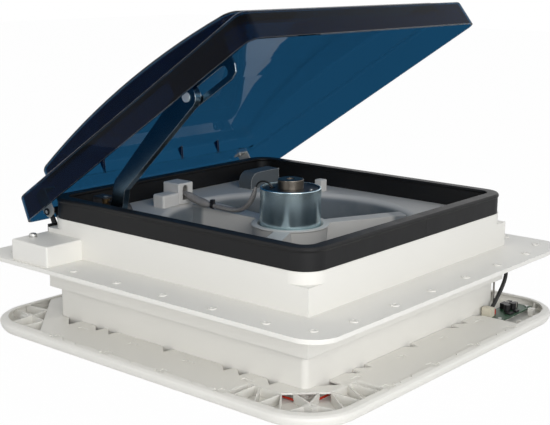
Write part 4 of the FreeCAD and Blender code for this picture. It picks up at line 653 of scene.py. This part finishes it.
jacket = finish_of("black_jacket", linear(25, 25, 25), 0.45)
red = finish_of("red_jacket", linear(190, 50, 30), 0.45)
thin_grey = finish_of("grey_jacket", linear(120, 116, 112), 0.6)
black_cable_route = [(166.5, -199, -79), (172, -199, -79), (214.3, -199, -38), (211.3, -186, -23),
                     (207.3, -180, -21), (186, -180, -21)]
grey_lead_route = [(185.5, -194.9, -83), (185.5, -194.9, -77), (187.5, -192.9, -66),
                   (187.5, -192.9, -21), (181, -192.9, -21), (181, -184, -21)]
red_lead_route = [(-214, 190, -88), (-206, 158, -88), (-203.2, 120, -88), (-204, -60, -88),
                  (-202.8, -186, -88), (-203.2, -203.2, -88), (-186, -202.8, -88),
                  (-20, -204, -88), (160, -203, -88), (174, -203.2, -88),
                  (174, -203.2, -74.5), (166.5, -203.2, -74.5)]
motor_lead_route = [(176, -180, -21), (168, -180, -21), (168, -180, 8), (168.4, -179, 22),
                    (167.6, -150, 22.4), (168.4, 0, 21.6), (168, 148, 22), (167.6, 166, 22),
                    (150, 166.4, 22), (60, 165.6, 21.8), (-14, 166.4, 22), (-30, 166, 22),
                    (-30, 147, 22), (-30, 147, 34)]
wire("cable_black", black_cable_route, 2.5, jacket, "black_cable")
wire("lead_grey", grey_lead_route, 1.2, thin_grey, "grey_lead")
wire("lead_red", red_lead_route, 1.3, red, "red_lead")
wire("lead_motor", motor_lead_route, 2.2, jacket, "motor_lead")

# %% [markdown]
# The motor's wires run in a braided sleeve, which is fat where it leaves the block, is
# pinched by the tie, lies flat along the spoke and rises to the cap. A tube of ovals that
# follow the line gives that, and its own UV map runs round and along it for the braid. Past
# the sleeve's cut end the same tube is thin and dark, for the wires that it lets out.

# %% Braided sleeve
braid, start, end = new_group(
    "braid",
    [("Colour", COLOUR, (0.2, 0.2, 0.2, 1)), ("Painted Glint", COLOUR, (0.5, 0.5, 0.5, 1)),
     ("Strands", NUMBER, 60.0), ("Pitch", NUMBER, 2600.0)],
    [("Colour", COLOUR), ("Height", NUMBER), ("Roughness", NUMBER)],
)
chart = add(braid, "ShaderNodeUVMap", uv_map="round_and_along")
split = add(braid, "ShaderNodeSeparateXYZ")
turns = add(braid, "ShaderNodeMath", operation="MULTIPLY")
reach = add(braid, "ShaderNodeMath", operation="MULTIPLY")
braid.links.new(chart.outputs[0], split.inputs[0])
braid.links.new(split.outputs["X"], turns.inputs[0])
braid.links.new(start.outputs["Strands"], turns.inputs[1])
braid.links.new(split.outputs["Y"], reach.inputs[0])
braid.links.new(start.outputs["Pitch"], reach.inputs[1])
waves = []
for way in ("ADD", "SUBTRACT"):
    lean = add(braid, "ShaderNodeMath", operation=way)
    wave = add(braid, "ShaderNodeMath", operation="SINE")
    braid.links.new(turns.outputs[0], lean.inputs[0])
    braid.links.new(reach.outputs[0], lean.inputs[1])
    braid.links.new(lean.outputs[0], wave.inputs[0])
    waves.append(wave)
over = add(braid, "ShaderNodeMath", operation="MAXIMUM")
height = add(braid, "ShaderNodeMapRange")
height.inputs["From Min"].default_value = -0.2
specks = add(braid, "ShaderNodeTexNoise", Scale=900.0, Detail=2.0)
spots = add(braid, "ShaderNodeTexCoord")
# Painted glint: the weave's crowns are painted a lighter colour in specks.
painted_glint = add(braid, "ShaderNodeMath", operation="MULTIPLY")
mix = add(braid, "ShaderNodeMix", data_type="RGBA")
braid.links.new(waves[0].outputs[0], over.inputs[0])
braid.links.new(waves[1].outputs[0], over.inputs[1])
braid.links.new(over.outputs[0], height.inputs["Value"])
braid.links.new(spots.outputs["Object"], specks.inputs["Vector"])
braid.links.new(height.outputs[0], painted_glint.inputs[0])
braid.links.new(specks.outputs["Fac"], painted_glint.inputs[1])
braid.links.new(painted_glint.outputs[0], mix.inputs[0])
braid.links.new(start.outputs["Colour"], mix.inputs[6])
braid.links.new(start.outputs["Painted Glint"], mix.inputs[7])
braid.links.new(mix.outputs[2], end.inputs["Colour"])
braid.links.new(height.outputs[0], end.inputs["Height"])
gleam = add(braid, "ShaderNodeMapRange")
gleam.inputs["To Min"].default_value = 0.75
gleam.inputs["To Max"].default_value = 0.4
braid.links.new(specks.outputs["Fac"], gleam.inputs["Value"])
braid.links.new(gleam.outputs[0], end.inputs["Roughness"])

sleeve = bpy.data.materials.new("grey_sleeve")
sleeve.use_nodes = True
tree = sleeve.node_tree
shader = tree.nodes["Principled BSDF"]
weave = add(tree, "ShaderNodeGroup", node_tree=braid)
weave.inputs["Colour"].default_value = (*linear(88, 84, 82), 1.0)
# The lighter colour is a painted glint on the weave's crowns.
weave.inputs["Painted Glint"].default_value = (*linear(196, 194, 192), 1.0)
relief = add(tree, "ShaderNodeBump", Strength=0.6, Distance=relief_depth)
sleeve_end = 0.160  # metres along the line
chart = add(tree, "ShaderNodeUVMap", uv_map="round_and_along")
split = add(tree, "ShaderNodeSeparateXYZ")
bare = add(tree, "ShaderNodeMath", operation="GREATER_THAN")
bare.inputs[1].default_value = sleeve_end
swap = add(tree, "ShaderNodeMix", data_type="RGBA")
swap.inputs[7].default_value = (*linear(12, 12, 13), 1.0)
tree.links.new(chart.outputs[0], split.inputs[0])
tree.links.new(split.outputs["Y"], bare.inputs[0])
tree.links.new(bare.outputs[0], swap.inputs[0])
tree.links.new(weave.outputs["Colour"], swap.inputs[6])
tree.links.new(swap.outputs[2], shader.inputs["Base Color"])
tree.links.new(weave.outputs["Roughness"], shader.inputs["Roughness"])
tree.links.new(weave.outputs["Height"], relief.inputs["Height"])
tree.links.new(relief.outputs[0], shader.inputs["Normal"])

loom_route = [(-30, 147, 34), (-30, 147, 54.5), (-30, 130, 55), (-28, 110, 46.5),
              (-22.5, 78, 42.8), (-17.5, 49, 41.5), (-20.5, 27, 60), (-20, 21.5, 84),
              (-15, 3.5, 84.5), (-14.5, 1.5, 73.5)]
# Share of the way along, half width and half thickness in millimetres.
ovals = [(0.0, 3.0, 3.0), (0.16, 3.2, 3.2), (0.21, 5.0, 5.0), (0.32, 5.6, 5.4), (0.39, 3.1, 2.8),
         (0.46, 4.0, 3.1), (0.60, 4.1, 3.1), (0.70, 4.3, 2.9), (0.78, 4.3, 2.6), (0.82, 2.6, 1.8),
         (0.84, 1.1, 1.1), (1.0, 1.0, 1.0)]


def oval_at(share):
    """Half width and half thickness of the sleeve at a share of its length."""
    for (s0, w0, t0), (s1, w1, t1) in zip(ovals, ovals[1:]):
        if share <= s1:
            f = (share - s0) / (s1 - s0)
            f = f * f * (3 - 2 * f)
            return w0 + (w1 - w0) * f, t0 + (t1 - t0) * f
    return ovals[-1][1:]


def oval_tube(name, line, around):
    """A closed tube of ovals along a line, with a UV map that runs round and along it."""
    whole = length_of(line)
    verts, faces, chart = [], [], []
    run = 0.0
    runs = []
    for i, spot in enumerate(line):
        if i:
            run += (spot - line[i - 1]).length
        runs.append(run)
        ahead = (line[min(i + 1, len(line) - 1)] - line[max(i - 1, 0)]).normalized()
        side = Vector((1, 0, 0)) - ahead * ahead.x
        side.normalize()
        up = side.cross(ahead)
        wide, thick = oval_at(run / whole)
        for k in range(around):
            turn = 2 * math.pi * k / around
            out = spot + side * (math.cos(turn) * wide * mm)
            verts.append(out + up * (math.sin(turn) * thick * mm))
    for i in range(len(line) - 1):
        for k in range(around):
            n = (k + 1) % around
            here, there = i * around, (i + 1) * around
            faces.append((here + k, here + n, there + n, there + k))
            chart.append([(k / around, runs[i]), ((k + 1) / around, runs[i]),
                          ((k + 1) / around, runs[i + 1]), (k / around, runs[i + 1])])
    faces.append(tuple(range(around))[::-1])
    faces.append(tuple((len(line) - 1) * around + k for k in range(around)))
    chart += [[(0.0, 0.0)] * around, [(0.0, whole)] * around]
    mesh = bpy.data.meshes.new(name)
    mesh.from_pydata(verts, [], faces)
    layer = mesh.uv_layers.new(name="round_and_along")
    for polygon, corners in zip(mesh.polygons, chart):
        for loop, spot in zip(polygon.loop_indices, corners):
            layer.data[loop].uv = spot
        polygon.use_smooth = len(corners) == 4
    piece = bpy.data.objects.new(name, mesh)
    bpy.context.scene.collection.objects.link(piece)
    return piece


def face_outwards(piece):
    """Turns every face of a new mesh outwards, with nothing else selected."""
    bpy.ops.object.select_all(action="DESELECT")
    bpy.context.view_layer.objects.active = piece
    piece.select_set(True)
    bpy.ops.object.mode_set(mode="EDIT")
    bpy.ops.mesh.select_all(action="SELECT")
    bpy.ops.mesh.normals_make_consistent(inside=False)
    bpy.ops.object.mode_set(mode="OBJECT")


loom_line = along(loom_route)
loom = oval_tube("loom_sleeve", loom_line, 16)
face_outwards(loom)
loom.data.materials.append(sleeve)
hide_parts("wire_loom")
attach(loom, "frame")

# %% [markdown]
# The insect screen is woven from round plastic thread, not quite two millimetres apart.
# Each thread is a thin bar of its own, one set just above the other, and the threads that
# would cross the knob's web stop at it, as the cut cloth does.

# %% Insect screen
cloth_low, cloth_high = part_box("insect_screen")
half = cloth_high[0]
middle = (cloth_low[2] + cloth_high[2]) / 2
web_x, web_y, web_half, web_round = -0.1465, 0.152, 0.0036, 0.0086
spacing = 0.0018
thread = 0.00024
margin = 0.001  # left clear along the frame
lower, upper = middle - thread * 0.5, middle + thread * 0.5
verts, faces = [], []


def add_thread(start_at, end_at, across, along_x, level):
    """One thread, as a thin bar with closed ends."""
    base = len(verts)
    for far in (start_at, end_at):
        for a, z in ((-thread, 0), (0, -thread), (thread, 0), (0, thread)):
            spot = (far, across + a, level + z) if along_x else (across + a, far, level + z)
            verts.append(spot)
    for k in range(4):
        n = (k + 1) % 4
        faces.append((base + k, base + n, base + 4 + n, base + 4 + k))
    faces.append((base + 3, base + 2, base + 1, base))
    faces.append((base + 4, base + 5, base + 6, base + 7))


count = int((half - margin) / spacing)
for k in range(-count, count + 1):
    at = k * spacing
    # Threads along x, which the web stops where they pass it.
    edge = web_round ** 2 - (at - web_y) ** 2
    stop = web_half if at > web_y else 0.0
    if edge > 0:
        stop = max(stop, math.sqrt(edge))
    if stop:
        add_thread(-half, web_x - stop, at, True, lower)
        add_thread(web_x + stop, half, at, True, lower)
    else:
        add_thread(-half, half, at, True, lower)
    # Threads along y.
    edge = web_round ** 2 - (at - web_x) ** 2
    if edge > 0:
        add_thread(-half, web_y - math.sqrt(edge), at, False, upper)
    else:
        add_thread(-half, half, at, False, upper)
mesh = bpy.data.meshes.new("woven_screen")
mesh.from_pydata(verts, [], faces)
screen = bpy.data.objects.new("woven_screen", mesh)
bpy.context.scene.collection.objects.link(screen)
face_outwards(screen)
cloth = finish_of("screen_cloth", linear(96, 98, 100), 0.6, edge=0.0001)
screen.data.materials.append(cloth)
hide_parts("insect_screen")
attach(screen, "frame")
print("screen", len(faces) // 6, "threads")
